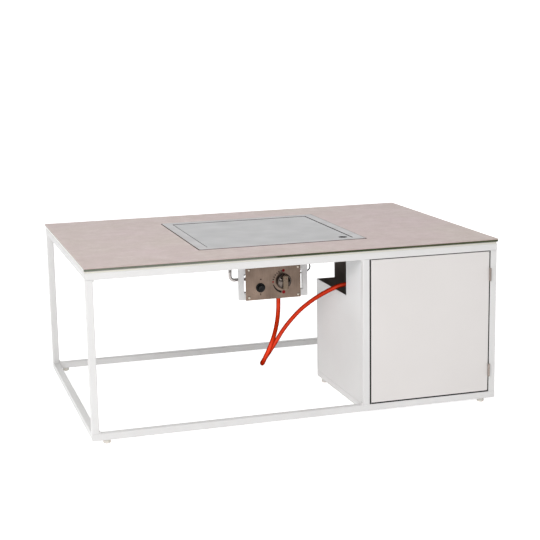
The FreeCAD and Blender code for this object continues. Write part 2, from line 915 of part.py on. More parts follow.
valve_front = hanger_front + named("valve_boss_length")
valve_back = valve_front + named("valve_depth")
valve_half = named("valve_width") / 2
valve_low = knob_z - named("valve_height") / 2
valve_high = knob_z + named("valve_height") / 2
valve_case = block("ValveCase", (knob_x - valve_half, knob_x + valve_half), (valve_front, valve_back),
                   (valve_low, valve_high))
valve_case = round_edges("ValveRound", valve_case, named("valve_round"), runs_along("Y"))
valve_boss = rod("ValveBoss", "Y", named("valve_boss_radius"), (knob_x, hanger_front, knob_z),
                 named("valve_boss_length"))
magnet_unit = rod("MagnetUnit", "Y", named("magnet_radius"), (knob_x, valve_back, knob_z),
                  named("magnet_length"))
knob_back = plate_front - named("knob_gap")
stem_front = knob_back - named("knob_skirt") - named("knob_grip_height") / 2
stem_bore = rod("StemBore", "Y", stem_radius + running_gap, (knob_x, hanger_front, knob_z),
                stem_front + named("stem_length") + named("stem_travel") * 2 - hanger_front)
keep("valve_body", cut("ValveBody", fuse("ValveCasting", [valve_case, valve_boss, magnet_unit]), [stem_bore]))
keep("valve_stem", rod("ValveStem", "Y", stem_radius, (knob_x, stem_front, knob_z), named("stem_length")))


# Knob: a round skirt with a raised bar grip, turning on the stem.

knob_front = knob_back - named("knob_skirt")
grip_front = knob_front - named("knob_grip_height")
grip_half = named("knob_grip_width") / 2
grip_reach = named("knob_grip_length") / 2
knob_skirt = cone("KnobSkirt", "Y", named("knob_face_radius"), named("knob_radius"),
                  (knob_x, knob_front, knob_z), named("knob_skirt"))
knob_grip = block("KnobGrip", (knob_x - grip_half, knob_x + grip_half), (grip_front, knob_front),
                  (knob_z - grip_reach, knob_z + grip_reach))
knob_grip = round_edges("KnobGripRound", knob_grip, named("knob_grip_round"), runs_along("Y"))
knob_bore = rod("KnobBore", "Y", stem_radius + running_gap, (knob_x, stem_front - seat_gap, knob_z),
                knob_back - stem_front + seat_gap)
keep("knob", cut("Knob", fuse("KnobSolid", [knob_skirt, knob_grip]), [knob_bore]))


# Igniter: a flanged case through the plate, with a push button that springs back.

button_radius = named("button_radius")
bezel_front = plate_front - named("bezel_height")
igniter_case = rod("IgniterCase", "Y", igniter_radius, (igniter_x, plate_front, igniter_z),
                   named("igniter_depth"))
bezel = rod("IgniterBezel", "Y", named("bezel_radius"), (igniter_x, bezel_front, igniter_z),
            named("bezel_height"))
terminal_start = plate_front + named("igniter_depth")
terminal = rod("IgniterTerminal", "Y", named("terminal_radius"), (igniter_x, terminal_start, igniter_z),
               named("terminal_length"))
button_front = bezel_front - named("button_proud")
button_bore = rod("ButtonBore", "Y", button_radius + named("button_gap"), (igniter_x, bezel_front, igniter_z),
                  named("button_length") - named("button_proud") + named("button_travel") + seat_gap)
keep("igniter_case", cut("Igniter", fuse("IgniterSolid", [igniter_case, bezel, terminal]), [button_bore]))
button = rod("IgniterButtonRod", "Y", button_radius, (igniter_x, button_front, igniter_z),
             named("button_length"))
keep("igniter_button", round_edges("IgniterButton", button, named("bezel_height") / 2,
                                   rim_before(bezel_front)))

keep("signal_lamp", rod("SignalLamp", "Y", lamp_radius, (lamp_x, plate_front - named("lamp_proud"), lamp_z),
                        named("plate_thickness") + named("lamp_proud")))


# Gas pipe from the valve's left side, straight out past the hanger, then up and back to the inlet.

pipe_radius = named("pipe_radius")
nut_radius = named("pipe_nut_radius")
nut_length = named("pipe_nut_length")
outlet_x = knob_x - valve_half
pipe_y = -named("pipe_setback")
outlet_z = knob_z + named("pipe_rise")
last_bend = vector((-named("pipe_loop_across"), pipe_y, outlet_z + named("pipe_riser")))
inlet_port = vector((inlet_x, inlet_y, inlet_low + named("inlet_port_rise")))
toward_inlet = unit(inlet_port - last_bend)
nut_outside = inlet_port - toward_inlet * float(named("inlet_radius") + nut_length)
pipe_points = [
    (outlet_x - nut_length, pipe_y, outlet_z),
    (-named("pipe_loop_across"), pipe_y, outlet_z),
    last_bend,
    nut_outside,
]
tube_along("supply_pipe", pipe_points, pipe_radius, float(named("pipe_bend")))

valve_nut = rod("ValveNut", "X", nut_radius, (outlet_x - nut_length, pipe_y, outlet_z), nut_length)
inlet_nut_blank = document.addObject("Part::Feature", "InletNutBlank")
inlet_nut_blank.Shape = Part.makeCylinder(float(nut_radius), float(nut_length + named("inlet_radius") / 2),
                                          nut_outside, toward_inlet)
inlet_clear = rod("InletClear", "Z", named("inlet_radius"), (inlet_x, inlet_y, inlet_low),
                  named("inlet_height"))
keep("pipe_nuts", group("PipeNuts", [valve_nut, cut("InletNut", inlet_nut_blank, [inlet_clear])]))


# Hose connection under the valve, and the orange hose itself.

hose_x = named("hose_across")
hose_y = -named("hose_back")
nut_low = valve_low - named("inlet_nut_height")
ferrule_low = nut_low - named("ferrule_length")
hose_nut = rod("HoseNut", "Z", named("inlet_nut_radius"), (hose_x, hose_y, nut_low),
               named("inlet_nut_height"))
ferrule = rod("HoseFerrule", "Z", named("ferrule_radius"), (hose_x, hose_y, ferrule_low),
              named("ferrule_length"))
keep("hose_fitting", fuse("HoseFitting", [hose_nut, ferrule]))

regulator_x = named("regulator_across")
regulator_z = named("regulator_level")
hose_end = -named("regulator_hose_end")
HOSE_POINTS = [
    (25, -100, 275), (22, -106, 254), (14, -122, 232), (0, -148, 210), (-18, -177, 188), (-33, -184, 160),
    (-43, -173, 132), (-43, -149, 110), (-38, -113, 103), (-21, -79, 107), (4, -59, 120), (26, -49, 147),
    (52, -52, 191), (92, -77, 250), (128, -114, 292), (155, -148, 319), (189, -166, 338), (221, -175, 343),
    (254, -184, 336), (280, -190, 315), (295, -195, 283), (300, -199, 242), (299, -201, 200), (293, -201, 159),
    (284, -195, 121), (274, -182, 87), (266, -158, 62), (262, -130, 52),
]
tube_along("gas_hose", [(hose_x, hose_y, ferrule_low)] + HOSE_POINTS + [(regulator_x, hose_end, regulator_z)],
           named("hose_radius"))


# Spark lead and probe lead, from the controls to their bushes under the tray.

lead_radius = named("lead_radius")
SPARK_LEAD_POINTS = [
    (-39.5, -72, 338.5), (-47, -66, 331), (-60, -74, 320), (-72, -86, 316), (-83, -90, 322), (-91, -90, 336),
    (-92, -88, 352), (-86, -86, 364), (-77, -86, 369), (-70, -86, 377), (-67, -86, 391), (-68, -86, 410),
]
PROBE_LEAD_POINTS = [
    (32, -52, 353), (41, -40, 353), (57, -36, 354), (76, -41, 356), (94, -54, 358), (109, -70, 361),
    (122, -84, 367), (130, -92, 379), (127, -93, 392), (121, -92, 404), (118, -91, 415),
]
spark_start = (igniter_x, terminal_start + named("terminal_length"), igniter_z)
probe_start = (knob_x, valve_back + named("magnet_length"), knob_z)
tube_along("spark_lead", [spark_start] + SPARK_LEAD_POINTS + [SPARK_BUSH + (bush_low,)], lead_radius)
tube_along("probe_lead", [probe_start] + PROBE_LEAD_POINTS + [PROBE_BUSH + (bush_low,)], lead_radius)


# Regulator at the hose's end, lying on the cabinet's floor, with its free-turning coupling wheel.

sheet = named("sheet")
panel_seam = named("panel_seam")
floor_low = low_rail[1]
floor_high = floor_low + sheet
tail_back = hose_end + named("regulator_tail_length")
disc_radius = named("regulator_disc_radius")
disc_y = tail_back + disc_radius - named("regulator_neck_radius") / 2
disc_low = floor_high + seat_gap
disc_high = regulator_z + named("regulator_disc_rise")
neck_back = disc_y + disc_radius + named("regulator_neck_length")
tail = rod("RegulatorTail", "Y", named("regulator_tail_radius"), (regulator_x, hose_end, regulator_z),
           disc_y - hose_end)
disc = rod("RegulatorDisc", "Z", disc_radius, (regulator_x, disc_y, disc_low), disc_high - disc_low)
disc = round_edges("RegulatorDiscRound", disc, named("regulator_disc_rise") / 4,
                   lambda edge: not runs_along("Z")(edge))
neck = rod("RegulatorNeck", "Y", named("regulator_neck_radius"), (regulator_x, disc_y, regulator_z),
           neck_back - disc_y)
keep("regulator_body", fuse("RegulatorBody", [tail, disc, neck]))
keep("regulator_cap", cone("RegulatorCap", "Z", named("regulator_cap_radius"),
                           named("regulator_cap_radius") - named("regulator_cap_height") / 4,
                           (regulator_x, disc_y, disc_high), named("regulator_cap_height")))

wheel_back = neck_back - seat_gap
wheel_front = wheel_back - named("wheel_length")
wheel_disc = rod("WheelDisc", "Y", named("wheel_radius"), (regulator_x, wheel_front, regulator_z),
                 named("wheel_length"))
wheel_bore = rod("WheelBore", "Y", named("regulator_neck_radius") + running_gap,
                 (regulator_x, wheel_front, regulator_z), named("wheel_length"))
scallops = []
wheel_grips = int(named("wheel_grips").value)
for number in range(wheel_grips):
    angle = 2 * math.pi * (number + 0.5) / wheel_grips
    reach = named("wheel_radius") + named("wheel_grip_radius") / 2
    place = (regulator_x + reach * math.cos(angle), wheel_front, regulator_z + reach * math.sin(angle))
    scallops.append(rod("Scallop%d" % number, "Y", named("wheel_grip_radius"), place, named("wheel_length")))
keep("coupling_wheel", cut("CouplingWheel", wheel_disc, [wheel_bore] + scallops))


# Cabinet: sheet panels flush with the frame, notched where the hose and the burner tray pass.

panel_low = low_rail[1] + panel_seam
panel_high = high_rail[0]
notch_level = named("notch_height")
left_panel = block("LeftPanelSheet", (cabinet_left, cabinet_left + sheet), (-inner_y, cabinet_back),
                   (panel_low, panel_high))
left_notch = block("LeftPanelNotch", (cabinet_left, cabinet_left + sheet),
                   (-named("notch_front"), cabinet_back), (notch_level, panel_high))
keep("cabinet_panel_left", cut("CabinetPanelLeft", left_panel, [left_notch]))

right_sheet_inner = frame_x - sheet
back_panel = block("BackPanelSheet", (cabinet_left + sheet, right_sheet_inner),
                   (cabinet_back - sheet, cabinet_back), (panel_low, panel_high))
back_notch = block("BackPanelNotch", (cabinet_left + sheet, cabinet_left + named("notch_width")),
                   (cabinet_back - sheet, cabinet_back), (notch_level, panel_high))
keep("cabinet_panel_back", cut("CabinetPanelBack", back_panel, [back_notch]))
keep("cabinet_panel_right", block("CabinetPanelRight", (right_sheet_inner, frame_x),
                                  (-inner_y, cabinet_back), (panel_low, panel_high)))

floor_sheet = block("FloorSheet", (cabinet_left + sheet + panel_seam, right_sheet_inner - panel_seam),
                    (-inner_y + panel_seam, cabinet_back - sheet - panel_seam), (floor_low, floor_high))
vents = []
vent_count = int(named("vent_count").value)


def around(middle, size):
    return (middle - size / 2, middle + size / 2)


for number in range(vent_count):
    middle = (cabinet_inner_back - inner_y) / 2 + named("vent_pitch") * (number - (vent_count - 1) / 2)
    vents.append(block("Vent%d" % number, around(named("vent_side"), named("vent_width")),
                       around(middle, named("vent_height")), (floor_low, floor_high)))
keep("cabinet_floor", cut("CabinetFloor", floor_sheet, vents))


# Door: a folded steel pan, hung on two loose-pin hinges, held shut by a magnet.

door_x = (post_right + named("door_gap_post"), inner_x - named("door_gap_hinge"))
door_z = (low_rail[1] + named("door_gap_low"), high_rail[0] - named("door_gap_high"))
door_depth = named("door_depth")
door_sheet = named("door_sheet")
door_back = -frame_y + door_depth

door = new_body("Door")
door_sketch = sketch_on(door, "DoorOutline", "XZ_Plane", -door_back)
rectangle(door_sketch, door_x, door_z)
door_block = pad(door, door_sketch, door_depth)
door_rounded = round_body(door, door_block, named("door_corner"), runs_along("Y"))


def on_door_front(edge):
    return edge.BoundBox.YMax < float(-frame_y) + 0.01


round_body(door, door_rounded, named("door_edge"), on_door_front)
hollow_sketch = sketch_on(door, "DoorHollow", "XZ_Plane", -door_back)
rectangle(hollow_sketch, inward(door_x, door_sheet), inward(door_z, door_sheet))
pocket(door, hollow_sketch, door_depth - door_sheet)
keep("door_panel", door)

strike_low = named("catch_level")
strike_high = strike_low + named("catch_height")
strike_left = door_x[0] + door_sheet
keep("door_strike", block("DoorStrike", (strike_left, strike_left + named("strike_width")),
                          (door_back - named("strike_thickness"), door_back), (strike_low, strike_high)))

catch_right = strike_left + named("catch_overlap")
catch_back = -inner_y + named("catch_depth")
catch_case = block("CatchCase", (cabinet_left + tube_side / 2, catch_right), (-inner_y, catch_back),
                   (strike_low, strike_high))
catch_face = block("CatchFace", (strike_left, catch_right), (door_back + seat_gap, -inner_y),
                   (strike_low, strike_high))
keep("magnet_catch", fuse("MagnetCatch", [catch_case, catch_face]))


# Hinges: three knuckles on a pin; the outer two belong to the frame, the middle one to the door.

hinge_x = inner_x - named("door_gap_hinge") / 2
hinge_y = -frame_y - named("hinge_proud")
hinge_radius = named("hinge_radius")
hinge_leaf = named("hinge_leaf")
pin_radius = named("hinge_pin_radius")
knuckle_gap = named("knuckle_gap")
knuckle = (named("hinge_length") - knuckle_gap * 2) / 3
leaf_start = hinge_y + hinge_radius + seat_gap
leaf_end = leaf_start + named("hinge_leaf_depth")


def leaf(name, x, low, knuckle_levels):
    """One half of a hinge: a leaf behind the barrel, with its knuckles and their tongues."""
    pieces = [block(name + "Leaf", x, (leaf_start, leaf_end), (low, low + named("hinge_length")))]
    bores = []
    for number, level in enumerate(knuckle_levels):
        start = low + level
        place = (hinge_x, hinge_y, start)
        tag = "%s%d" % (name, number)
        pieces.append(rod(tag + "Knuckle", "Z", hinge_radius, place, knuckle))
        pieces.append(block(tag + "Tongue", x, (hinge_y, leaf_start), (start, start + knuckle)))
        bores.append(rod(tag + "Bore", "Z", pin_radius + running_gap, place, knuckle))
    return cut(name, fuse(name + "Solid", pieces), bores)


def pin(name, low):
    top = low + named("hinge_length")
    shank = rod(name + "Shank", "Z", pin_radius, (hinge_x, hinge_y, low), named("hinge_length"))
    head = rod(name + "Head", "Z", named("hinge_pin_head"), (hinge_x, hinge_y, top), pin_radius / 2)
    return fuse(name, [shank, head])


frame_leaves = []
door_leaves = []
pins = []
step = knuckle + knuckle_gap
frame_leaf_x = (inner_x - hinge_leaf, inner_x)
door_leaf_x = (door_x[1], door_x[1] + hinge_leaf)
for tag, middle in (("Low", named("hinge_low")), ("High", named("hinge_high"))):
    low = middle - named("hinge_length") / 2
    frame_leaves.append(leaf("FrameHinge" + tag, frame_leaf_x, low, (as_size(0), step * 2)))
    door_leaves.append(leaf("DoorHinge" + tag, door_leaf_x, low, (step,)))
    pins.append(pin("HingePin" + tag, low))
keep("hinge_frame_leaves", group("HingeFrameLeaves", frame_leaves))
keep("hinge_door_leaves", group("HingeDoorLeaves", door_leaves))
keep("hinge_pins", group("HingePins", pins))


# Check every object and every sub-part before anything is written.

document.recompute()
for thing in document.Objects:
    if "Invalid" in thing.State or "Error" in thing.State:
        raise ValueError("%s is not computed: %s" % (thing.Name, thing.State))
for node, thing in parts.items():
    shape = thing.Shape
    if shape.isNull() or not shape.isValid() or not shape.Solids:
        raise ValueError(node + " has no sound solid")

os.makedirs("parts", exist_ok=True)
for node, thing in parts.items():
    thing.Shape.exportStep("parts/%s.step" % node)
print("%d nodes" % len(parts))
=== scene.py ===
import math

import bmesh
import bpy
from mathutils import Matrix, Vector
from mathutils.geometry import tessellate_polygon


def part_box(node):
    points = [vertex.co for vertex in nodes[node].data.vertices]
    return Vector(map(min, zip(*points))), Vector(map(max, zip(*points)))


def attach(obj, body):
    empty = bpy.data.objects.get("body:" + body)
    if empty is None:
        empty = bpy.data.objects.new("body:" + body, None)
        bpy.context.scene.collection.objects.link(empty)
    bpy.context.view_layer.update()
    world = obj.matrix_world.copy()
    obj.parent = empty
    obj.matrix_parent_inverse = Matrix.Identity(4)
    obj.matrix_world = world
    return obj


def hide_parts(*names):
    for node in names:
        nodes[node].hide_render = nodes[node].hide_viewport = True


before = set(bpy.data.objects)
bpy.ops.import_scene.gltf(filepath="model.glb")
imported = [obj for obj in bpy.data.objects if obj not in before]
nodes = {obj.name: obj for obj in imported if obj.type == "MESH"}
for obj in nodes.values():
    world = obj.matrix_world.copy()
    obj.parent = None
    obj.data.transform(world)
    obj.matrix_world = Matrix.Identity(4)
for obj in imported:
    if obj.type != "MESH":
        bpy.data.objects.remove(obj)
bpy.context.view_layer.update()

mm = 0.001

# The studio: a pale lit floor that curves up into a wall, large soft lamps from above and from the
# front left, and two dark cards for metal and glass to mirror. The camera stands to the left of the
# table and looks slightly down.

bpy.context.scene.view_settings.view_transform = "Standard"


def placed(name, data):
    """A new object in the scene."""
    made = bpy.data.objects.new(name, data)
    bpy.context.scene.collection.objects.link(made)
    return made


CAMERA_PLACE = Vector((-1.0846, -3.6717, 1.1188))
CAMERA_RIGHT = Vector((0.9557, -0.2938, -0.01677)).normalized()
CAMERA_AHEAD = Vector((0.2852, 0.9387, -0.1934)).normalized()
LENS = 84.94
SENSOR = 36

camera_data = bpy.data.cameras.new("camera")
camera_data.lens = LENS
camera_data.sensor_width = SENSOR
camera = placed("camera", camera_data)
camera_up = CAMERA_RIGHT.cross(CAMERA_AHEAD)
camera.matrix_world = Matrix.Translation(CAMERA_PLACE) @ Matrix(
    (CAMERA_RIGHT, camera_up, -CAMERA_AHEAD)).transposed().to_4x4()
bpy.context.scene.camera = camera


def add(tree, kind, inputs=None, **settings):
    """A node with its settings; an input's value may be a number, a colour or another node's output."""
    item = tree.nodes.new(kind)
    for key, value in settings.items():
        setattr(item, key, value)
    feed(tree, item, inputs or {})
    return item


def feed(tree, item, inputs):
    for key, value in inputs.items():
        if isinstance(value, bpy.types.NodeSocket):
            tree.links.new(value, item.inputs[key])
        else:
            item.inputs[key].default_value = value


def blank(name):
    """A new material with its node tree and its shader."""
    material = bpy.data.materials.new(name)
    material.use_nodes = True
    return material, material.node_tree, material.node_tree.nodes["Principled BSDF"]


def place_coordinates(tree):
    return add(tree, "ShaderNodeTexCoord").outputs["Object"]


def noise(tree, vector, scale, detail=2.0, roughness=0.5):
    inputs = {"Vector": vector, "Scale": scale, "Detail": detail, "Roughness": roughness}
    return add(tree, "ShaderNodeTexNoise", inputs).outputs["Fac"]


def spread(tree, value, low, high, start=0.3, end=0.7):
    """A noise value stretched between two limits."""
    inputs = {"Value": value, "From Min": start, "From Max": end, "To Min": low, "To Max": high}
    return add(tree, "ShaderNodeMapRange", inputs).outputs["Result"]


def blend_colours(tree, factor, first, second):
    item = add(tree, "ShaderNodeMix", data_type="RGBA")
    feed(tree, item, {0: factor, 6: first, 7: second})
    return item.outputs[2]


floor_material, floor_tree, floor_shader = blank("pale floor")
FLOOR_COLOUR = (0.9, 0.9, 0.9, 1)
FLOOR_GLOW = 0.7
FLOOR_FILL = 0.25
rays = add(floor_tree, "ShaderNodeLightPath").outputs
glow = add(floor_tree, "ShaderNodeMapRange", {"Value": rays["Is Diffuse Ray"], "To Min": FLOOR_GLOW,
                                              "To Max": FLOOR_FILL})
feed(floor_tree, floor_shader, {"Base Color": FLOOR_COLOUR, "Roughness": 0.8, "Specular IOR Level": 0.1,
                                "Emission Color": (1, 1, 1, 1), "Emission Strength": glow.outputs["Result"]})
from_below = add(floor_tree, "ShaderNodeMixShader", {
    0: add(floor_tree, "ShaderNodeNewGeometry").outputs["Backfacing"], 1: floor_shader.outputs[0],
    2: add(floor_tree, "ShaderNodeBsdfTransparent").outputs[0]})
feed(floor_tree, floor_tree.nodes["Material Output"], {"Surface": from_below.outputs[0]})


def staged(name, points, faces, material):
    """A plain surface with one material, such as the floor or a card."""
    mesh = bpy.data.meshes.new(name)
    mesh.from_pydata(points, [], faces)
    mesh.materials.append(material)
    mesh.shade_smooth()
    made = placed(name, mesh)
    return made


FLOOR_HALF = 9.0
FLOOR_SIDE = 13.5
WALL_PLACE = 7.0
WALL_TURN = 2.5
TURN_STEPS = 16
floor_profile = [(-FLOOR_HALF, 0.0)]
for index in range(TURN_STEPS + 1):
    angle = math.pi / 2 * index / TURN_STEPS
    floor_profile.append((WALL_PLACE - WALL_TURN * (1 - math.sin(angle)), WALL_TURN * (1 - math.cos(angle))))
floor_profile.append((WALL_PLACE, FLOOR_HALF))
points = [(side * FLOOR_SIDE, y, z) for y, z in floor_profile for side in (-1, 1)]
quads = [(2 * i, 2 * i + 1, 2 * i + 3, 2 * i + 2) for i in range(len(floor_profile) - 1)]
staged("floor", points, quads, floor_material)

WORLD_STRENGTH = 0.36
world = bpy.data.worlds.new("studio")
world.use_nodes = True
world_tree = world.node_tree
seen = add(world_tree, "ShaderNodeLightPath").outputs["Is Camera Ray"]
backdrop = add(world_tree, "ShaderNodeMapRange", {"Value": seen, "To Min": WORLD_STRENGTH, "To Max": 1.0})
feed(world_tree, world_tree.nodes["Background"], {"Color": (1, 1, 1, 1),
                                                  "Strength": backdrop.outputs["Result"]})
bpy.context.scene.world = world


def soft_lamp(name, place, target, size, power):
    data = bpy.data.lights.new(name, "AREA")
    data.shape = "RECTANGLE"
    data.size, data.size_y = size
    data.energy = power
    lamp = placed(name, data)
    lamp.location = place
    lamp.rotation_euler = (Vector(target) - Vector(place)).to_track_quat("-Z", "Y").to_euler()


soft_lamp("overhead", (-0.4, -0.6, 3.4), (0, 0, 0.2), (3.2, 2.6), 38)
soft_lamp("front left", (-2.6, -3.4, 2.4), (0, -0.2, 0.3), (2.2, 1.8), 100)

CARD_PLACE = -1.6
card_material, card_tree, card_shader = blank("dark card")
feed(card_tree, card_shader, {"Base Color": (0.02, 0.02, 0.02, 1), "Roughness": 0.9})


def dark_card(name, left, right, low, high):
    """An upright card that only mirrors see."""
    corners = [(x, CARD_PLACE, z) for x, z in ((left, low), (right, low), (right, high), (left, high))]
    card = staged(name, corners, [(0, 1, 2, 3)], card_material)
    card.visible_camera = card.visible_diffuse = card.visible_shadow = False


dark_card("card for the knob", -1.0, 0.2, 0.0, 0.18)
dark_card("card for the glass edge", 0.3, 1.5, 0.16, 0.36)


# The gas hose: orange rubber, 13 mm thick, from the ferrule under the valve in a tight loop, up
# through the cabinet's notch and down to the regulator on the cabinet's floor.

HOSE_DIAMETER = 13 * mm
HOSE_ROUTE = [
    (0.025, -0.1, 0.296), (0.025, -0.1, 0.275), (0.022, -0.106, 0.254), (0.014, -0.122, 0.232),
    (0, -0.148, 0.21), (-0.018, -0.177, 0.188), (-0.033, -0.184, 0.16), (-0.043, -0.173, 0.132),
    (-0.043, -0.149, 0.11), (-0.0343, -0.114, 0.103), (-0.0145, -0.0805, 0.107), (0.006, -0.0595, 0.12),
    (0.03, -0.05, 0.1465), (0.0555, -0.052, 0.188), (0.097, -0.077, 0.246), (0.1318, -0.114, 0.2863),
    (0.1575, -0.15, 0.3133), (0.189, -0.171, 0.3335), (0.221, -0.178, 0.3395), (0.254, -0.185, 0.334),
    (0.28, -0.19, 0.315), (0.295, -0.195, 0.283), (0.3, -0.199, 0.242), (0.299, -0.201, 0.2),
    (0.293, -0.201, 0.159), (0.284, -0.195, 0.121), (0.274, -0.182, 0.087), (0.266, -0.158, 0.062),
    (0.262, -0.13, 0.052), (0.262, -0.104, 0.052),
]


def cord_curve(name, route, diameter, material, sides=4):
    """A smooth cord that follows a route's points."""
    data = bpy.data.curves.new(name, "CURVE")
    data.dimensions = "3D"
    spline = data.splines.new("NURBS")
    spline.points.add(len(route) - 1)
    for point, place in zip(spline.points, route):
        point.co = (*place, 1)
    spline.order_u = 3
    spline.use_endpoint_u = True
    spline.resolution_u = 8
    data.bevel_depth = diameter / 2
    data.bevel_resolution = sides
    data.use_fill_caps = True
    data.materials.append(material)
    return placed(name, data)


def group(kind, name, inputs, outputs):
    """An empty node group with named inputs, some with a value of their own, and named outputs."""
    tree = bpy.data.node_groups.new(name, kind + "NodeTree")
    for label, socket, *value in inputs:
        made = tree.interface.new_socket(label, in_out="INPUT", socket_type="NodeSocket" + socket)
        if value:
            made.default_value = value[0]
    for label, socket in outputs:
        tree.interface.new_socket(label, in_out="OUTPUT", socket_type="NodeSocket" + socket)
    return tree, tree.nodes.new("NodeGroupInput"), tree.nodes.new("NodeGroupOutput")


def bump(tree, height, distance):
    return add(tree, "ShaderNodeBump", {"Height": height, "Distance": distance}).outputs["Normal"]


grain, source, result = group("Shader", "fine grain", [("Scale", "Float", 800), ("Depth", "Float", 0.00002)],
                              [("Normal", "Vector"), ("Value", "Float")])
grain_value = noise(grain, place_coordinates(grain), source.outputs["Scale"], 3)
feed(grain, result, {"Normal": bump(grain, grain_value, source.outputs["Depth"]), "Value": grain_value})

hose_material, tree, shader = blank("orange hose rubber")
surface = place_coordinates(tree)
hose_grain = add(tree, "ShaderNodeGroup", {"Scale": 2600, "Depth": 0.00003}, node_tree=grain)
tone = spread(tree, noise(tree, surface, 28, 3), 0, 1)
# Painted shade: the rubber's colour darkens towards the hose's outline, where its surface turns away, to
# round the hose.
facing = add(tree, "ShaderNodeLayerWeight", {"Blend": 0.7}).outputs["Facing"]
rubber = blend_colours(tree, tone, (0.97, 0.050, 0.001, 1), (0.88, 0.040, 0.001, 1))
feed(tree, shader, {
    "Base Color": blend_colours(tree, facing, rubber, (0.20, 0.004, 0.001, 1)),
    "Roughness": spread(tree, noise(tree, surface, 60), 0.36, 0.46),
    "Specular IOR Level": spread(tree, facing, 0.3, 0.0, 0.05, 0.6),
    "Normal": hose_grain.outputs["Normal"],
})
hose = cord_curve("gas_hose_rubber", HOSE_ROUTE, HOSE_DIAMETER, hose_material, 6)
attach(hose, "table")
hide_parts("gas_hose")


# The spark lead and the probe lead: 4 mm black cable, from the igniter's terminal and from the
# valve's magnet unit up to rubber bushes under the burner tray.

LEAD_DIAMETER = 4 * mm
SPARK_ROUTE = [
    (-0.0395, -0.0855, 0.3385), (-0.0395, -0.072, 0.3385), (-0.047, -0.066, 0.331), (-0.06, -0.074, 0.32),
    (-0.072, -0.086, 0.316), (-0.083, -0.09, 0.322), (-0.091, -0.09, 0.336), (-0.092, -0.088, 0.352),
    (-0.086, -0.086, 0.364), (-0.077, -0.086, 0.369), (-0.07, -0.086, 0.377), (-0.067, -0.086, 0.391),
    (-0.068, -0.086, 0.41), (-0.068, -0.086, 0.427),
]
PROBE_ROUTE = [
    (0.032, -0.068, 0.353), (0.032, -0.052, 0.353), (0.041, -0.04, 0.353), (0.057, -0.036, 0.354),
    (0.076, -0.041, 0.356), (0.094, -0.054, 0.358), (0.109, -0.07, 0.361), (0.122, -0.084, 0.367),
    (0.13, -0.092, 0.379), (0.127, -0.093, 0.392), (0.121, -0.092, 0.404), (0.118, -0.091, 0.415),
    (0.118, -0.091, 0.427),
]
SPARK_LENGTH = 0.187
PROBE_LENGTH = 0.195


def two_tone(name, first, second, roughness, grain_scale, grain_depth, clouds=None, finish=None):
    """Two mingled colours under a fine grain; clouds mingle them on a scale of their own."""
    material, tree, shader = blank(name)
    skin = add(tree, "ShaderNodeGroup", {"Scale": grain_scale, "Depth": grain_depth}, node_tree=grain)
    mingled = skin.outputs["Value"]
    if clouds:
        mingled = spread(tree, noise(tree, place_coordinates(tree), *clouds), 0, 1)
    feed(tree, shader, {"Base Color": blend_colours(tree, mingled, first, second), "Roughness": roughness,
                        "Normal": skin.outputs["Normal"], **(finish or {})})
    return material


lead_material = two_tone("black cable", (0.006, 0.006, 0.007, 1), (0.014, 0.014, 0.014, 1), 0.5,
                         3000, 0.00002, (90,), {"Specular IOR Level": 0.15})
for name, route, length in (("spark_lead", SPARK_ROUTE, SPARK_LENGTH),
                            ("probe_lead", PROBE_ROUTE, PROBE_LENGTH)):
    lead = cord_curve(name + "_cable", route, LEAD_DIAMETER, lead_material)
    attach(lead, "table")
    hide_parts(name)


# The frame: square steel tube, 20 mm, welded and powder coated white in one piece. The tubes stay
# as they are built; the bead in each inner corner is a run of small overlapping weld ripples.

WHITE_PAINT = (0.735, 0.728, 0.723, 1)
WHITE_PAINT_SHADE = (0.705, 0.695, 0.69, 1)
PEEL_SCALE = 520
PEEL_DEPTH = 0.000025

peel, source, result = group(
    "Shader", "orange peel", [("Scale", "Float", PEEL_SCALE), ("Depth", "Float", PEEL_DEPTH)],
    [("Normal", "Vector"), ("Clouds", "Float")])
surface = place_coordinates(peel)
peel_height = noise(peel, surface, source.outputs["Scale"], 2)
feed(peel, result, {"Normal": bump(peel, peel_height, source.outputs["Depth"]),
                    "Clouds": spread(peel, noise(peel, surface, 5, 4), 0, 1)})


def powder_coat(name, colour, shade):
    """Thick matt-satin paint with a faint orange peel and hardly visible clouds."""
    material, tree, shader = blank(name)
    skin = add(tree, "ShaderNodeGroup", node_tree=peel)
    clouds = skin.outputs["Clouds"]
    feed(tree, shader, {
        "Base Color": blend_colours(tree, clouds, colour, shade),
        "Roughness": spread(tree, clouds, 0.36, 0.46, 0, 1),
        "Specular IOR Level": 0.4,
        "Normal": skin.outputs["Normal"],
    })
    return material


def finish_nodes(material, *names):
    """The nodes of the frame that keep their shape get their finish."""
    for name in names:
        for material_slot in nodes[name].material_slots:
            material_slot.material = material


white_paint = powder_coat("white powder coat", WHITE_PAINT, WHITE_PAINT_SHADE)
finish_nodes(white_paint, "cabinet_post", "cabinet_rail_left", "cabinet_rail_back", "cross_rails",
             *(level + "_rail_" + side for level in ("bottom", "top")
               for side in ("front", "back", "left", "right")),
             *("leg_" + end + "_" + side for end in ("front", "back") for side in ("left", "right")))


def merged(name):
    """A copy of a node's mesh with its loose triangles joined."""
    shape = bmesh.new()
    shape.from_mesh(nodes[name].data)
    bmesh.ops.remove_doubles(shape, verts=shape.verts, dist=1e-6)
    return shape


def solids(name):
    """The lowest and highest corners of each separate solid of a node."""
    shape = merged(name)
    waiting = set(shape.verts)
    corners = []
    while waiting:
        reached = [waiting.pop()]
        for vert in reached:
            near = {edge.other_vert(vert) for edge in vert.link_edges} & waiting
            waiting -= near
            reached.extend(near)
        low = Vector([min(vert.co[axis] for vert in reached) for axis in range(3)])
        high = Vector([max(vert.co[axis] for vert in reached) for axis in range(3)])
        corners.append((low, high))
    shape.free()
    return sorted(corners, key=lambda pair: tuple(round(value, 5) for value in pair[0]))


def geometry_tree(name, inputs):
    return group("Geometry", name, [("Geometry", "Geometry"), *inputs], [("Geometry", "Geometry")])


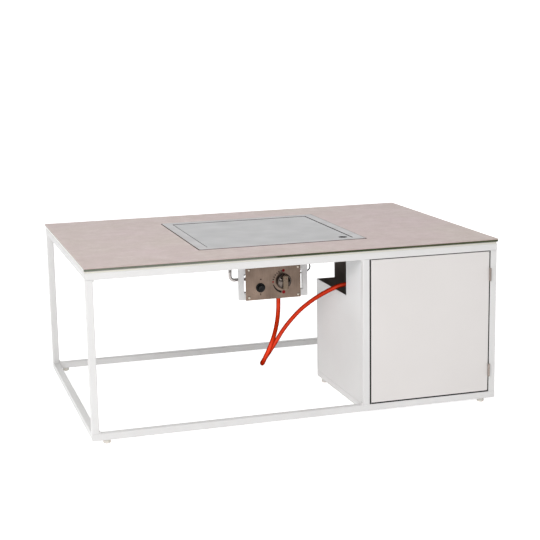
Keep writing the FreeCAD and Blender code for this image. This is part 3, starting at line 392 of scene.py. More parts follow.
def finished_mesh(item):
    """The plain mesh that an object's modifiers make of it; the object goes."""
    mesh = bpy.data.meshes.new_from_object(item.evaluated_get(bpy.context.evaluated_depsgraph_get()))
    bpy.data.objects.remove(item)
    return mesh


def grow(tree, points, edges, values):
    """The plain mesh that a geometry node tree makes from some points and edges."""
    base = bpy.data.meshes.new("base")
    base.from_pydata(points, edges, [])
    holder = placed("holder", base)
    maker = holder.modifiers.new("maker", "NODES")
    maker.node_group = tree
    for item in tree.interface.items_tree:
        if item.in_out == "INPUT" and item.name in values:
            maker[item.identifier] = values[item.name]
    return finished_mesh(holder)


def piece(name, mesh, material, body, slot, *stands_for):
    """A mesh as a finished piece that rides on a body, in place of nodes of the frame."""
    mesh.materials.clear()
    mesh.materials.append(material)
    made = placed(name, mesh)
    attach(made, body)
    if stands_for:
        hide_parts(*stands_for)
    return made


def end_tree(tree, result, geometry, material):
    """The last nodes of a tree: real copies, with their material."""
    real = add(tree, "GeometryNodeRealizeInstances", {"Geometry": geometry})
    painted = add(tree, "GeometryNodeSetMaterial", {"Geometry": real.outputs[0], "Material": material})
    feed(tree, result, {"Geometry": painted.outputs[0]})


def number(tree, operation, first, second=0.0):
    return add(tree, "ShaderNodeMath", {0: first, 1: second}, operation=operation).outputs[0]


def softened(mesh, degrees):
    """The mesh shaded smooth, apart from its sharper edges."""
    mesh.shade_smooth()
    mesh.set_sharp_from_angle(angle=math.radians(degrees))
    return mesh


bead_tree, source, result = geometry_tree("weld bead", [
    ("Radius", "Float"), ("Ripple pitch", "Float"), ("Ripple depth", "Float"), ("Material", "Material")])
seam = add(bead_tree, "GeometryNodeMeshToCurve", {"Mesh": source.outputs["Geometry"]})
STEPS_PER_RIPPLE = 4
BEAD_SIDES = 20
step = number(bead_tree, "DIVIDE", source.outputs["Ripple pitch"], STEPS_PER_RIPPLE)
run = add(bead_tree, "GeometryNodeResampleCurve", {"Curve": seam.outputs[0], "Length": step}, mode="LENGTH")
along = add(bead_tree, "GeometryNodeSplineParameter").outputs["Length"]
turns = number(bead_tree, "DIVIDE", along, source.outputs["Ripple pitch"])
wave = number(bead_tree, "SINE", number(bead_tree, "MULTIPLY", turns, 2 * math.pi))
swell = number(bead_tree, "ADD", number(bead_tree, "MULTIPLY", wave, source.outputs["Ripple depth"]), 1)
round_section = add(bead_tree, "GeometryNodeCurvePrimitiveCircle",
                    {"Resolution": BEAD_SIDES, "Radius": source.outputs["Radius"]})
bead = add(bead_tree, "GeometryNodeCurveToMesh", {
    "Curve": run.outputs[0], "Profile Curve": round_section.outputs[0], "Scale": swell, "Fill Caps": True})
end_tree(bead_tree, result, bead.outputs[0], source.outputs["Material"])

BEAD_RADIUS = 3.6 * mm
BEAD_SINK = 1.2 * mm
BEAD_SHARP = 60
RIPPLE_PITCH = 1.8 * mm
RIPPLE_DEPTH = 0.06
frame_centre = Vector((0, 0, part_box("leg_front_left")[1][2] / 2))
bead_points = []
for low, high in solids("weld_beads"):
    centre, size = (low + high) / 2, high - low
    along_axis = max(range(3), key=lambda axis: size[axis])
    start, end = low.copy(), high.copy()
    for axis in range(3):
        if axis != along_axis:
            outward = -1 if centre[axis] < frame_centre[axis] else 1
            edge = low[axis] if outward < 0 else high[axis]
            start[axis] = end[axis] = edge - outward * BEAD_SINK
    bead_points += [start, end]
bead_edges = [(index, index + 1) for index in range(0, len(bead_points), 2)]
bead_mesh = grow(bead_tree, bead_points, bead_edges, {
    "Radius": BEAD_RADIUS, "Ripple pitch": RIPPLE_PITCH, "Ripple depth": RIPPLE_DEPTH,
    "Material": white_paint})
piece("weld_ripples", softened(bead_mesh, BEAD_SHARP), white_paint, "table", "frame_paint", "weld_beads")


# The glides: cream plastic feet turned with a soft edge, pressed into the tube from below. The pads:
# clear rubber discs that carry the glass on the frame's top rails.

def eased(points, radius, steps=4, closed=False):
    """An outline with its corners rounded to one radius, or to a radius for each point."""
    points = [Vector(point) for point in points]
    radii = list(radius) if isinstance(radius, (list, tuple)) else [radius] * len(points)
    outline = []
    for index, corner in enumerate(points):
        at_end = not closed and index in (0, len(points) - 1)
        if at_end or radii[index] == 0:
            outline.append(corner)
            continue
        back = (points[index - 1] - corner).normalized()
        ahead = (points[(index + 1) % len(points)] - corner).normalized()
        half = back.angle(ahead) / 2
        centre = corner + (back + ahead).normalized() * radii[index] / math.sin(half)
        reach = radii[index] / math.tan(half)
        first = (corner + back * reach - centre).normalized()
        last = (corner + ahead * reach - centre).normalized()
        outline += [centre + first.slerp(last, step / steps) * radii[index] for step in range(steps + 1)]
    return outline


def join_rings(shape, rings):
    """Faces between rings of points, where a ring of one point is a pole."""
    for first, second in zip(rings, rings[1:]):
        count = max(len(first), len(second))
        for index in range(count):
            ahead = index + 1
            corners = [first[index % len(first)], first[ahead % len(first)],
                       second[ahead % len(second)], second[index % len(second)]]
            corners = list(dict.fromkeys(corners))
            if len(corners) > 2:
                shape.faces.new(corners)


def turned(profile, steps=48):
    """A closed shape turned about Z from pairs of radius and height that begin and end on the axis."""
    shape = bmesh.new()
    rings = []
    for radius, height in profile:
        count = steps if radius > 1e-7 else 1
        angles = [2 * math.pi * index / count for index in range(count)]
        rings.append([shape.verts.new((radius * math.cos(turn), radius * math.sin(turn), height))
                      for turn in angles])
    join_rings(shape, rings)
    return shape


SHARP_ANGLE = 38


def closed_mesh(shape, place=Matrix()):
    """The shape as a mesh in its place, its faces outwards and its sharp edges kept."""
    bmesh.ops.remove_doubles(shape, verts=shape.verts, dist=1e-7)
    bmesh.ops.recalc_face_normals(shape, faces=shape.faces)
    mesh = bpy.data.meshes.new("closed")
    shape.to_mesh(mesh)
    shape.free()
    mesh.transform(place)
    return softened(mesh, SHARP_ANGLE)


place_tree, source, result = geometry_tree("same piece at points", [
    ("Shape", "Object"), ("Material", "Material")])
shape_info = add(place_tree, "GeometryNodeObjectInfo", {"Object": source.outputs["Shape"]})
copies = add(place_tree, "GeometryNodeInstanceOnPoints", {
    "Points": source.outputs["Geometry"], "Instance": shape_info.outputs["Geometry"]})
end_tree(place_tree, result, copies.outputs[0], source.outputs["Material"])


def repeated(mesh, places, material):
    """One mesh that holds the same shape at several places."""
    shape = placed("shape", mesh)
    together = grow(place_tree, places, [], {"Shape": shape, "Material": material})
    bpy.data.objects.remove(shape)
    return together


def round_solids(name):
    """Where the like round solids of a node stand, their radius and their height."""
    found = solids(name)
    places = [((low.x + high.x) / 2, (low.y + high.y) / 2, low.z) for low, high in found]
    low, high = found[0]
    return places, (high.x - low.x) / 2, high.z - low.z


glide_material = two_tone("cream glide plastic", (0.74, 0.71, 0.66, 1), (0.62, 0.59, 0.54, 1), 0.5,
                          1800, 0.00004, (120, 4), {"Subsurface Weight": 0.1})
glide_places, glide_radius, glide_height = round_solids("glides")
GLIDE_EASE = 0.35 * mm
glide_profile = eased([
    (0, 0.4 * mm), (glide_radius - 5 * mm, 0.4 * mm), (glide_radius - 4 * mm, 0),
    (glide_radius - 1.6 * mm, 0), (glide_radius, 2.2 * mm), (glide_radius, 5.4 * mm),
    (glide_radius - 1.2 * mm, 6.2 * mm), (glide_radius - 1.2 * mm, 7.4 * mm),
    (glide_radius - 0.4 * mm, 8.2 * mm), (glide_radius - 2.2 * mm, glide_height), (0, glide_height)],
    GLIDE_EASE)
glides = repeated(closed_mesh(turned(glide_profile)), glide_places, glide_material)
piece("turned_glides", glides, glide_material, "table", "glide_plastic", "glides")

pad_material = two_tone("clear pad rubber", (0.72, 0.72, 0.68, 1), (0.55, 0.55, 0.52, 1), 0.3, 900, 0.00005,
                        (200,), {"Subsurface Weight": 0.3})
pad_places, pad_radius, pad_height = round_solids("glass_pads")
pad_profile = eased([(0, 0), (pad_radius, 0), (pad_radius - 1.4 * mm, pad_height / 2),
                     (pad_radius, pad_height), (0, pad_height)], (0, 0.8 * mm, 1 * mm, 0.8 * mm, 0))
pads = repeated(closed_mesh(turned(pad_profile)), pad_places, pad_material)
piece("soft_pads", pads, pad_material, "table", "pad_rubber", "glass_pads")


# The table top: a ceramic sheet in beige clay colours bonded to a sheet of dark glass. Both are cut
# to one outline with an opening for the burner and ground to a fine arris; a cream joint closes the
# gap to the frame.

def drawn_in(outline, distance):
    """A closed outline moved to its own left by a distance."""
    moved = []
    for index, corner in enumerate(outline):
        before = (corner - outline[index - 1]).normalized()
        after = (outline[(index + 1) % len(outline)] - corner).normalized()
        left = Vector((-before.y - after.y, before.x + after.x))
        moved.append(corner + left * distance / (1 + before.dot(after)))
    return moved


def cut_sheet(outlines, low, high, ease, steps=3):
    """A sheet with eased edges, cut to an outer outline and to openings that run the other way round."""
    shape = bmesh.new()
    turns = [math.pi / 2 * step / steps for step in range(steps + 1)]
    levels = [(ease * (1 - math.sin(turn)), high - ease * (1 - math.cos(turn))) for turn in turns]
    levels += [(inset, low + high - height) for inset, height in reversed(levels)]
    tops, bottoms = [], []
    for outline in outlines:
        rings = [[shape.verts.new((*corner, height)) for corner in drawn_in(outline, inset)]
                 for inset, height in levels]
        join_rings(shape, rings)
        tops.append(rings[0])
        bottoms.append(rings[-1])
    for rims in (tops, bottoms):
        corners = [vert for rim in rims for vert in rim]
        for triangle in tessellate_polygon([[vert.co for vert in rim] for rim in rims]):
            shape.faces.new([corners[index] for index in triangle])
    return shape


SQUARE = ((-1, -1), (1, -1), (1, 1), (-1, 1))


def rectangle(half_x, half_y, corner, centre=(0, 0), steps=6):
    middle = Vector(centre)
    return eased([middle + Vector((x * half_x, y * half_y)) for x, y in SQUARE], corner, steps, closed=True)


def hole(outline):
    return list(reversed(outline))


def flatten_shading(made):
    """Large flat faces keep an even shade next to their rounded edges."""
    weighted = made.modifiers.new("even_shade", "WEIGHTED_NORMAL")
    weighted.keep_sharp = True


def corners_of(name):
    return [Vector(corner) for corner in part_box(name)]


CLAY_ROSE = (0.514, 0.394, 0.390, 1)
CLAY_SAND = (0.500, 0.418, 0.370, 1)
CLAY_DARK = (0.403, 0.326, 0.307, 1)
CLAY_PALE = (0.622, 0.545, 0.521, 1)
CLAY_SPECK = (0.30, 0.235, 0.215, 1)
MOTTLE_SHARE, FLECK_SHARE, VEIN_SHARE, SPECK_SHARE = 0.26, 0.22, 0.35, 0.4
VEIN_STRETCH = (2.5, 9.0, 1.0)
ceramic_material, tree, shader = blank("beige ceramic")
surface = place_coordinates(tree)
clouds = spread(tree, noise(tree, surface, 3.2, 5, 0.6), 0, 1, 0.35, 0.65)
mottle = spread(tree, noise(tree, surface, 26, 10, 0.72), 0, 1, 0.36, 0.64)
fleck = spread(tree, noise(tree, surface, 150, 4, 0.7), 0, 1, 0.42, 0.66)
specks = spread(tree, noise(tree, surface, 420, 2), 0, 1, 0.62, 0.72)
vein_place = add(tree, "ShaderNodeMapping", {"Vector": surface, "Scale": VEIN_STRETCH}).outputs[0]
vein_value = number(tree, "ABSOLUTE", number(tree, "SUBTRACT", noise(tree, vein_place, 1, 8, 0.6), 0.5))
veins = spread(tree, vein_value, 1, 0, 0.0, 0.012)
clay = blend_colours(tree, clouds, CLAY_ROSE, CLAY_SAND)
for mask, share, colour in ((mottle, MOTTLE_SHARE, CLAY_DARK), (fleck, FLECK_SHARE, CLAY_PALE),
                            (veins, VEIN_SHARE, CLAY_PALE), (specks, SPECK_SHARE, CLAY_SPECK)):
    clay = blend_colours(tree, number(tree, "MULTIPLY", mask, share), clay, colour)
feed(tree, shader, {
    "Base Color": clay,
    "Roughness": spread(tree, mottle, 0.42, 0.55, 0, 1),
    "Specular IOR Level": 0.4,
    "Normal": bump(tree, noise(tree, surface, 700, 4, 0.6), 0.00006),
})
ceramic_low, ceramic_high = corners_of("ceramic_top")
rim_low, tray_high = corners_of("burner_tray")
RIM_GAP = 3 * mm
SHEET_CORNER = 3 * mm
ARRIS = 0.5 * mm
bowl_opening = rectangle(tray_high.x + RIM_GAP, tray_high.y + RIM_GAP, SHEET_CORNER)
sheet_outline = rectangle(ceramic_high.x, ceramic_high.y, SHEET_CORNER)
ceramic = closed_mesh(cut_sheet([sheet_outline, hole(bowl_opening)], ceramic_low.z, ceramic_high.z, ARRIS, 2))
flatten_shading(piece("ceramic_sheet", ceramic, ceramic_material, "table", "ceramic", "ceramic_top"))

glass_material, tree, shader = blank("dark edge glass")
surface = place_coordinates(tree)
smear = spread(tree, noise(tree, surface, 9, 5), 0, 1)
feed(tree, shader, {
    "Base Color": blend_colours(tree, smear, (0.045, 0.060, 0.030, 1), (0.075, 0.080, 0.045, 1)),
    "Roughness": spread(tree, smear, 0.04, 0.09, 0, 1),
    "Specular IOR Level": 0.65,
    "Coat Weight": 0.8,
    "Coat Roughness": 0.04,
    "Normal": bump(tree, noise(tree, surface, 60, 1), 0.00003),
})
glass_low, glass_high = corners_of("glass_sheet")
GLASS_ARRIS = 0.8 * mm
NECK_OPENING = 468.6 * mm
glass_opening = rectangle(NECK_OPENING / 2, NECK_OPENING / 2, SHEET_CORNER)
glass = closed_mesh(cut_sheet([sheet_outline, hole(glass_opening)], glass_low.z, glass_high.z,
                              GLASS_ARRIS, 1))
flatten_shading(piece("dark_glass", glass, glass_material, "table", "dark_glass", "glass_sheet"))

joint_material = two_tone("cream joint", (0.71, 0.69, 0.62, 1), (0.65, 0.63, 0.56, 1), 0.55, 700, 0.00006)
frame_low, frame_high = corners_of("top_rail_front")
JOINT_INSET = 0.4 * mm
JOINT_WIDTH = 1.5 * mm
JOINT_SINK = 0.8 * mm
JOINT_EASE = 0.3 * mm
joint_outer = (frame_high.x - JOINT_INSET, -frame_low.y - JOINT_INSET)
joint_outlines = [rectangle(*joint_outer, SHEET_CORNER),
                  hole(rectangle(*(half - JOINT_WIDTH for half in joint_outer), SHEET_CORNER))]
joint = closed_mesh(cut_sheet(joint_outlines, frame_high.z - JOINT_SINK, glass_low.z, JOINT_EASE))
piece("glass_joint", joint, joint_material, "table", "pad_rubber")


# The burner tray: folded and welded steel with a flat rim that stands a little proud of the ceramic,
# inside a brown seal. A step below the rim carries the lid, a steel plate with a finger hole near its
# front right corner.

brush, source, result = group(
    "Shader", "brushed lines", [("Stretch", "Vector", (20, 900, 900)), ("Depth", "Float", 0.00001)],
    [("Normal", "Vector"), ("Lines", "Float"), ("Smudges", "Float")])
surface = place_coordinates(brush)
stretched = add(brush, "ShaderNodeVectorMath", {0: surface, 1: source.outputs["Stretch"]},
                operation="MULTIPLY")
lines = noise(brush, stretched.outputs[0], 1, 4, 0.7)
feed(brush, result, {"Normal": bump(brush, lines, source.outputs["Depth"]), "Lines": lines,
                     "Smudges": spread(brush, noise(brush, surface, 14, 5), 0, 1)})

LID_SHADE_COLOUR = (0.020, 0.017, 0.016, 1)


def brushed_metal(name, colour, shade, roughness, stretch=(20, 900, 900), depth=0.00001, contrast=1.0):
    """Metal with fine lines along the axis of the least stretch, faint smudges, and painted shade where
    marked.
    """
    material, tree, shader = blank(name)
    skin = add(tree, "ShaderNodeGroup", {"Stretch": stretch, "Depth": depth}, node_tree=brush)
    tone = number(tree, "ADD", number(tree, "MULTIPLY", skin.outputs["Lines"], 0.5),
                  number(tree, "MULTIPLY", skin.outputs["Smudges"], 0.5))
    tone = spread(tree, tone, 0, 1, 0.5 - 0.5 / contrast, 0.5 + 0.5 / contrast)
    lid_shaded = add(tree, "ShaderNodeAttribute", attribute_name="lid_shade").outputs["Fac"]
    feed(tree, shader, {
        "Base Color": blend_colours(tree, lid_shaded, blend_colours(tree, tone, colour, shade), LID_SHADE_COLOUR),
        "Metallic": 1.0,
        "Roughness": spread(tree, skin.outputs["Smudges"], roughness - 0.04, roughness + 0.05, 0, 1),
        "Normal": skin.outputs["Normal"],
    })
    return material


def ring_loft(rings):
    """A closed shape drawn through square or round rings, with its first and last ring filled."""
    shape = bmesh.new()
    drawn = [[shape.verts.new(point) for point in ring] for ring in rings]
    join_rings(shape, drawn)
    shape.faces.new(drawn[0])
    shape.faces.new(drawn[-1])
    return shape


def paint_lid_shade(mesh, gets_lid_shade):
    """Marks the faces that get painted shade."""
    lid_shade = mesh.attributes.new("lid_shade", "FLOAT", "FACE")
    for face, mark in zip(mesh.polygons, lid_shade.data):
        mark.value = float(gets_lid_shade(face))


RIM_INNER = 221.2 * mm
RIM_PROUD = 0.9 * mm
RIM_STEP = 2 * mm
LEDGE_INNER = 208.8 * mm
LEDGE_LOW, LEDGE_HIGH = 479.5 * mm, 481 * mm
SHEET_STEEL = 1.5 * mm
rim_outer = tray_high.x
rim_top = tray_high.z + RIM_PROUD
rim_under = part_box("lid")[0][2] + RIM_STEP
tray_floor = rim_low.z
tray_profile = eased([
    (0, tray_floor), (LEDGE_INNER + SHEET_STEEL, tray_floor), (LEDGE_INNER + SHEET_STEEL, LEDGE_LOW),
    (RIM_INNER + SHEET_STEEL, LEDGE_LOW), (RIM_INNER + SHEET_STEEL, rim_under), (rim_outer, rim_under),
    (rim_outer, rim_top), (RIM_INNER, rim_top), (RIM_INNER, LEDGE_HIGH), (LEDGE_INNER, LEDGE_HIGH),
    (LEDGE_INNER, tray_floor + SHEET_STEEL), (0, tray_floor + SHEET_STEEL)],
    [radius * mm for radius in (0, 2.2, 0.5, 1.2, 0.5, 0.4, 0.6, 0.6, 0.5, 1.0, 1.6, 0)])
TRAY_CORNER = 3 * mm
CORNER_GROWTH = 0.1
tray_rings = []
for half, height in tray_profile[1:-1]:
    corner = min(TRAY_CORNER + max(half - LEDGE_INNER, 0) * CORNER_GROWTH, half)
    tray_rings.append([(*point, height) for point in rectangle(half, half, corner)])
tray_material = brushed_metal("tray steel", (0.405, 0.395, 0.40, 1), (0.375, 0.365, 0.37, 1), 0.4)
tray = closed_mesh(ring_loft(tray_rings))
# Painted shade: the tray's faces below the rim that face its middle, the rim's wall beside the lid among
# them, are darkened for the shade under and round the lid.
INWARD_POINT = Vector((0, 0, 1))
UNSHADED_RIM = 0.7 * mm
paint_lid_shade(tray, lambda face: (face.center.z < rim_top - UNSHADED_RIM
                            and face.normal.dot(INWARD_POINT - face.center) > 0))
flatten_shading(piece("folded_tray", tray, tray_material, "table", "tray_steel", "burner_tray"))

SEAL_DEPTH = 0.2 * mm
SEAL_SLACK = 0.05 * mm
SEAL_WIDTH = 1.4 * mm
SEAL_EASE = 0.3 * mm
seal_material = two_tone("brown seal", (0.050, 0.020, 0.015, 1), (0.080, 0.038, 0.028, 1), 0.7, 900, 0.00008)
seal_outer, seal_inner = (rectangle(rim_outer + reach, rim_outer + reach, SHEET_CORNER)
                          for reach in (SEAL_SLACK + SEAL_WIDTH, SEAL_SLACK))
seal = closed_mesh(cut_sheet([seal_outer, hole(seal_inner)], rim_under, rim_top - SEAL_DEPTH, SEAL_EASE))
piece("rim_seal", seal, seal_material, "table", "pad_rubber")

lid_low, lid_high = corners_of("lid")
LID_SLACK = 2 * mm
LID_CORNER = 2 * mm
LID_ARRIS = 0.7 * mm
UNSHADED_LID = 0.6 * mm
FINGER_HOLE = 13 * mm
FINGER_PLACE = (196 * mm, -199 * mm)


def circle(radius, centre=(0, 0), count=48):
    return [Vector((centre[0] + radius * math.cos(2 * math.pi * index / count),
                    centre[1] + radius * math.sin(2 * math.pi * index / count))) for index in range(count)]


lid_outlines = [rectangle(lid_high.x - LID_SLACK, lid_high.y - LID_SLACK, LID_CORNER),
                hole(circle(FINGER_HOLE, FINGER_PLACE))]
lid_material = brushed_metal("lid steel", (0.373, 0.372, 0.377, 1), (0.358, 0.357, 0.362, 1), 0.4)
lid = closed_mesh(cut_sheet(lid_outlines, lid_low.z, lid_high.z, LID_ARRIS))
# Painted shade: the lid's sides and underside are darkened, which darkens the gap round it.
paint_lid_shade(lid, lambda face: face.center.z < lid_high.z - UNSHADED_LID)
flatten_shading(piece("steel_lid", lid, lid_material, "lid", "lid_steel", "lid"))


# Inside the tray: the burner ring on four blocks, the spark rod and heat probe on their bracket, the
# gas inlet below, and red-brown lava stones heaped over them.

FLAT_ANGLE = 0.6


def refined(node, ease, material, body, slot):
    """A closed copy of a node with its sharp edges eased, shown in place of that node."""
    shape = merged(node)
    bmesh.ops.dissolve_limit(shape, angle_limit=math.radians(FLAT_ANGLE), verts=shape.verts,
                             edges=shape.edges)
    made = piece(node + "_finished", closed_mesh(shape), material, body, slot, node)
    rounding = made.modifiers.new("eased_edges", "BEVEL")
    rounding.width = ease
    rounding.segments = 2
    rounding.limit_method = "ANGLE"
    rounding.angle_limit = math.radians(SHARP_ANGLE)
    rounding.harden_normals = True


burner_steel = brushed_metal("burner steel", (0.42, 0.40, 0.37, 1), (0.30, 0.28, 0.26, 1), 0.38,
                             (200, 200, 200))
finish_nodes(burner_steel, "burner_ring", "burner_blocks", "pilot_electrodes", "burner_inlet")

lava_material, tree, shader = blank("lava stone")
surface = place_coordinates(tree)
pores = add(tree, "ShaderNodeTexVoronoi", {"Vector": surface, "Scale": 480}).outputs["Distance"]
roughened = noise(tree, surface, 190, 6, 0.7)
relief = number(tree, "ADD", number(tree, "MULTIPLY", pores, -0.7), roughened)
STONE_RED, STONE_BROWN = (0.105, 0.045, 0.03, 1), (0.05, 0.032, 0.028, 1)
PORE_SHADE = (0.012, 0.009, 0.008, 1)
PORE_DEPTH = 0.0012
stone = blend_colours(tree, spread(tree, noise(tree, surface, 26, 3), 0, 1), STONE_RED, STONE_BROWN)
# Painted shade: the pores, only a bump in the surface, are coloured near black for the shade inside them.
feed(tree, shader, {
    "Base Color": blend_colours(tree, spread(tree, pores, 1, 0, 0.05, 0.3), stone, PORE_SHADE),
    "Roughness": 0.9,
    "Specular IOR Level": 0.25,
    "Normal": bump(tree, relief, PORE_DEPTH),
})

stone_tree, source, result = geometry_tree("heap of stones", [
    ("Field", "Float"), ("Height", "Float"), ("Radius", "Float"), ("Spacing", "Float"),
    ("Roughness", "Float"), ("Seed", "Int"), ("Material", "Material")])
wanted = source.outputs
STONE_DENSITY = 9000.0
FULL_TURN = 6.28
STONE_LEAST, STONE_MOST = (0.75, 0.7, 0.6), (1.1, 1.05, 0.9)
JAG_SCALE = 95.0
bed = add(stone_tree, "GeometryNodeMeshGrid", {
    "Size X": wanted["Field"], "Size Y": wanted["Field"], "Vertices X": 2, "Vertices Y": 2})
spots = add(stone_tree, "GeometryNodeDistributePointsOnFaces", {
    "Mesh": bed.outputs[0], "Distance Min": wanted["Spacing"], "Density Max": STONE_DENSITY,
    "Seed": wanted["Seed"]}, distribute_method="POISSON")
stone_shape = add(stone_tree, "GeometryNodeMeshIcoSphere", {"Radius": wanted["Radius"], "Subdivisions": 2})
spin = add(stone_tree, "FunctionNodeRandomValue", data_type="FLOAT_VECTOR")
feed(stone_tree, spin, {"Max": (FULL_TURN, FULL_TURN, FULL_TURN), "Seed": wanted["Seed"]})
scale = add(stone_tree, "FunctionNodeRandomValue", data_type="FLOAT_VECTOR")
feed(stone_tree, scale, {"Min": STONE_LEAST, "Max": STONE_MOST, "Seed": wanted["Seed"]})
stones = add(stone_tree, "GeometryNodeInstanceOnPoints", {
    "Points": spots.outputs["Points"], "Instance": stone_shape.outputs[0],
    "Rotation": spin.outputs[0], "Scale": scale.outputs[0]})
real_stones = add(stone_tree, "GeometryNodeRealizeInstances", {"Geometry": stones.outputs[0]})
jag = add(stone_tree, "ShaderNodeTexNoise", {"Scale": JAG_SCALE, "Detail": 2.0})
centred = add(stone_tree, "ShaderNodeVectorMath", {0: jag.outputs["Color"], 1: (0.5, 0.5, 0.5)},
              operation="SUBTRACT")
push = add(stone_tree, "ShaderNodeVectorMath", {0: centred.outputs[0], "Scale": wanted["Roughness"]},
           operation="SCALE")
jagged = add(stone_tree, "GeometryNodeSetPosition", {
    "Geometry": real_stones.outputs[0], "Offset": push.outputs[0]})
lift = add(stone_tree, "ShaderNodeCombineXYZ", {"Z": wanted["Height"]})
heap = add(stone_tree, "GeometryNodeTransform", {
    "Geometry": jagged.outputs[0], "Translation": lift.outputs[0]})
facets = add(stone_tree, "GeometryNodeSetShadeSmooth", {"Geometry": heap.outputs[0], "Shade Smooth": False})
end_tree(stone_tree, result, facets.outputs[0], wanted["Material"])

stone_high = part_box("lava_rocks")[1]
STONE_RADIUS = 13 * mm
STONE_SPACING = 19 * mm
STONE_JAGS = 9 * mm
LOW_SEED, HIGH_SEED = 4, 7
heap_shape = bmesh.new()
for seed, height in ((LOW_SEED, tray_floor + SHEET_STEEL + STONE_RADIUS),
                     (HIGH_SEED, stone_high[2] - STONE_RADIUS)):
    layer = grow(stone_tree, [], [], {
        "Field": 2 * (stone_high[0] - STONE_RADIUS), "Height": height, "Radius": STONE_RADIUS,
        "Spacing": STONE_SPACING, "Roughness": STONE_JAGS, "Seed": seed, "Material": lava_material})
    heap_shape.from_mesh(layer)
heap_mesh = bpy.data.meshes.new("heap")
heap_shape.to_mesh(heap_mesh)
heap_shape.free()
piece("lava_stones", heap_mesh, lava_material, "table", "lava", "lava_rocks")


# The hanger: two upright arms and two bars of small square tube, welded under the tray and painted
# white. The lead bushes are black rubber rings in the tray's underside.

# Painted light: the hanger's white is lighter than the frame's, to make up for the shade under the table top.
hanger_paint_lit = powder_coat("hanger powder coat, painted light", (0.90, 0.89, 0.89, 1), (0.87, 0.86, 0.86, 1))
finish_nodes(hanger_paint_lit, "hanger_arm_left", "hanger_arm_right", "hanger_bar_low", "hanger_bar_high")
bush_rubber = two_tone("bush rubber", (0.016, 0.016, 0.017, 1), (0.034, 0.034, 0.034, 1), 0.6, 2200, 0.00004)
bush_places, bush_radius, bush_height = round_solids("lead_bushes")
bush_profile = eased([(0, 0), (bush_radius - 1.6 * mm, 0), (bush_radius, bush_height / 2),
                      (bush_radius, bush_height), (0, bush_height)], (0, 0.6 * mm, 0.6 * mm, 0.3 * mm, 0))
bushes = repeated(closed_mesh(turned(bush_profile, 32)), bush_places, bush_rubber)
piece("rubber_bushes", bushes, bush_rubber, "table", "lead_rubber", "lead_bushes")


# The control plate: brushed steel held by four dome screws, its brown colour a painted reflection of warm
# surroundings. Round marks are printed on it: dots and ticks round the knob, an arc that swells towards
# full gas, and a tick below the igniter.

def upright(x=0.0, z=0.0):
    """Turns a shape drawn flat so that its top faces the front."""
    return Matrix.Translation((x, 0, z)) @ Matrix.Rotation(math.pi / 2, 4, "X")


def centre_of(name):
    low, high = corners_of(name)
    return [(low[axis] + high[axis]) / 2 for axis in range(3)]


plate_low, plate_high = corners_of("control_plate")
knob_low, knob_high = corners_of("knob")
case_low, case_high = corners_of("igniter_case")
lamp_low, lamp_high = corners_of("signal_lamp")
plate_front = -plate_low.y
knob_x, _, knob_z = centre_of("knob")
case_x, _, case_z = centre_of("igniter_case")
lamp_x, _, lamp_z = centre_of("signal_lamp")
CASE_HOLE = 11.3 * mm
STEM_HOLE = 6 * mm
LAMP_HOLE = 2.1 * mm
SCREW_HOLE = 2.2 * mm
PLATE_CORNER = 1.5 * mm
PLATE_ARRIS = 0.4 * mm
screw_solids = solids("plate_screws")
screw_spots = [((low.x + high.x) / 2, (low.z + high.z) / 2) for low, high in screw_solids]
plate_outlines = [rectangle(plate_high.x, (plate_high.z - plate_low.z) / 2, PLATE_CORNER,
                            (0, centre_of("control_plate")[2]))]
openings = [(STEM_HOLE, (knob_x, knob_z)), (CASE_HOLE, (case_x, case_z)), (LAMP_HOLE, (lamp_x, lamp_z), 24)]
openings += [(SCREW_HOLE, spot, 24) for spot in screw_spots]
plate_outlines += [hole(circle(*opening)) for opening in openings]
# Painted reflection: the steel is coloured brown for the warm surroundings it mirrors.
plate_reflection_steel = brushed_metal("plate steel, painted reflection", (0.290, 0.212, 0.167, 1), (0.160, 0.116, 0.091, 1), 0.3,
                               (500, 500, 40), 0.000012, 1.8)
plate = closed_mesh(cut_sheet(plate_outlines, -plate_high.y, plate_front, PLATE_ARRIS), upright())
flatten_shading(piece("brushed_plate", plate, plate_reflection_steel, "table", "plate_steel", "control_plate"))

print_black = two_tone("black print", (0.012, 0.011, 0.010, 1), (0.03, 0.028, 0.026, 1), 0.8, 5000, 0.00001,
                       finish={"Specular IOR Level": 0.0})
print_red = two_tone("red print", (0.32, 0.010, 0.016, 1), (0.22, 0.007, 0.011, 1), 0.7, 5000, 0.00001,
                     finish={"Specular IOR Level": 0.15})

MARK_RING = 32.5 * mm
PRINT_THICKNESS = 0.12 * mm


def on_ring(degrees, radius=MARK_RING):
    turn = math.radians(degrees)
    return Vector((knob_x + radius * math.cos(turn), knob_z + radius * math.sin(turn)))


def tick(degrees, length, width):
    """A short bar that points at the knob's centre."""
    out = (on_ring(degrees) - Vector((knob_x, knob_z))).normalized()
    side = Vector((-out.y, out.x))
    return [on_ring(degrees) + out * a * length / 2 + side * b * width / 2 for a, b in SQUARE]


def swelling_arc(start, end, thin, thick, steps=24):
    """A band along the ring that grows wider towards its end."""
    angles = [start + (end - start) * step / steps for step in range(steps + 1)]
    widths = [thin + (thick - thin) * step / steps for step in range(steps + 1)]
    outer = [on_ring(turn, MARK_RING + width / 2) for turn, width in zip(angles, widths)]
    inner = [on_ring(turn, MARK_RING - width / 2) for turn, width in zip(angles, widths)]
    return outer + inner[::-1]


def gathered(outlines, low, high, ease, steps):
    """Separate sheets that face the front, in one mesh."""
    together = bmesh.new()
    for outline in outlines:
        sheet = cut_sheet([outline], low, high, ease, steps)
        mesh = bpy.data.meshes.new("sheet")
        sheet.to_mesh(mesh)
        sheet.free()
        together.from_mesh(mesh)
    return closed_mesh(together, upright())


def printed(name, outlines, material, slot):
    """Flat marks that stand a hair proud of the plate."""
    marks = gathered(outlines, plate_front, plate_front + PRINT_THICKNESS, PRINT_EASE, 1)
    piece(name, marks, material, "table", slot)


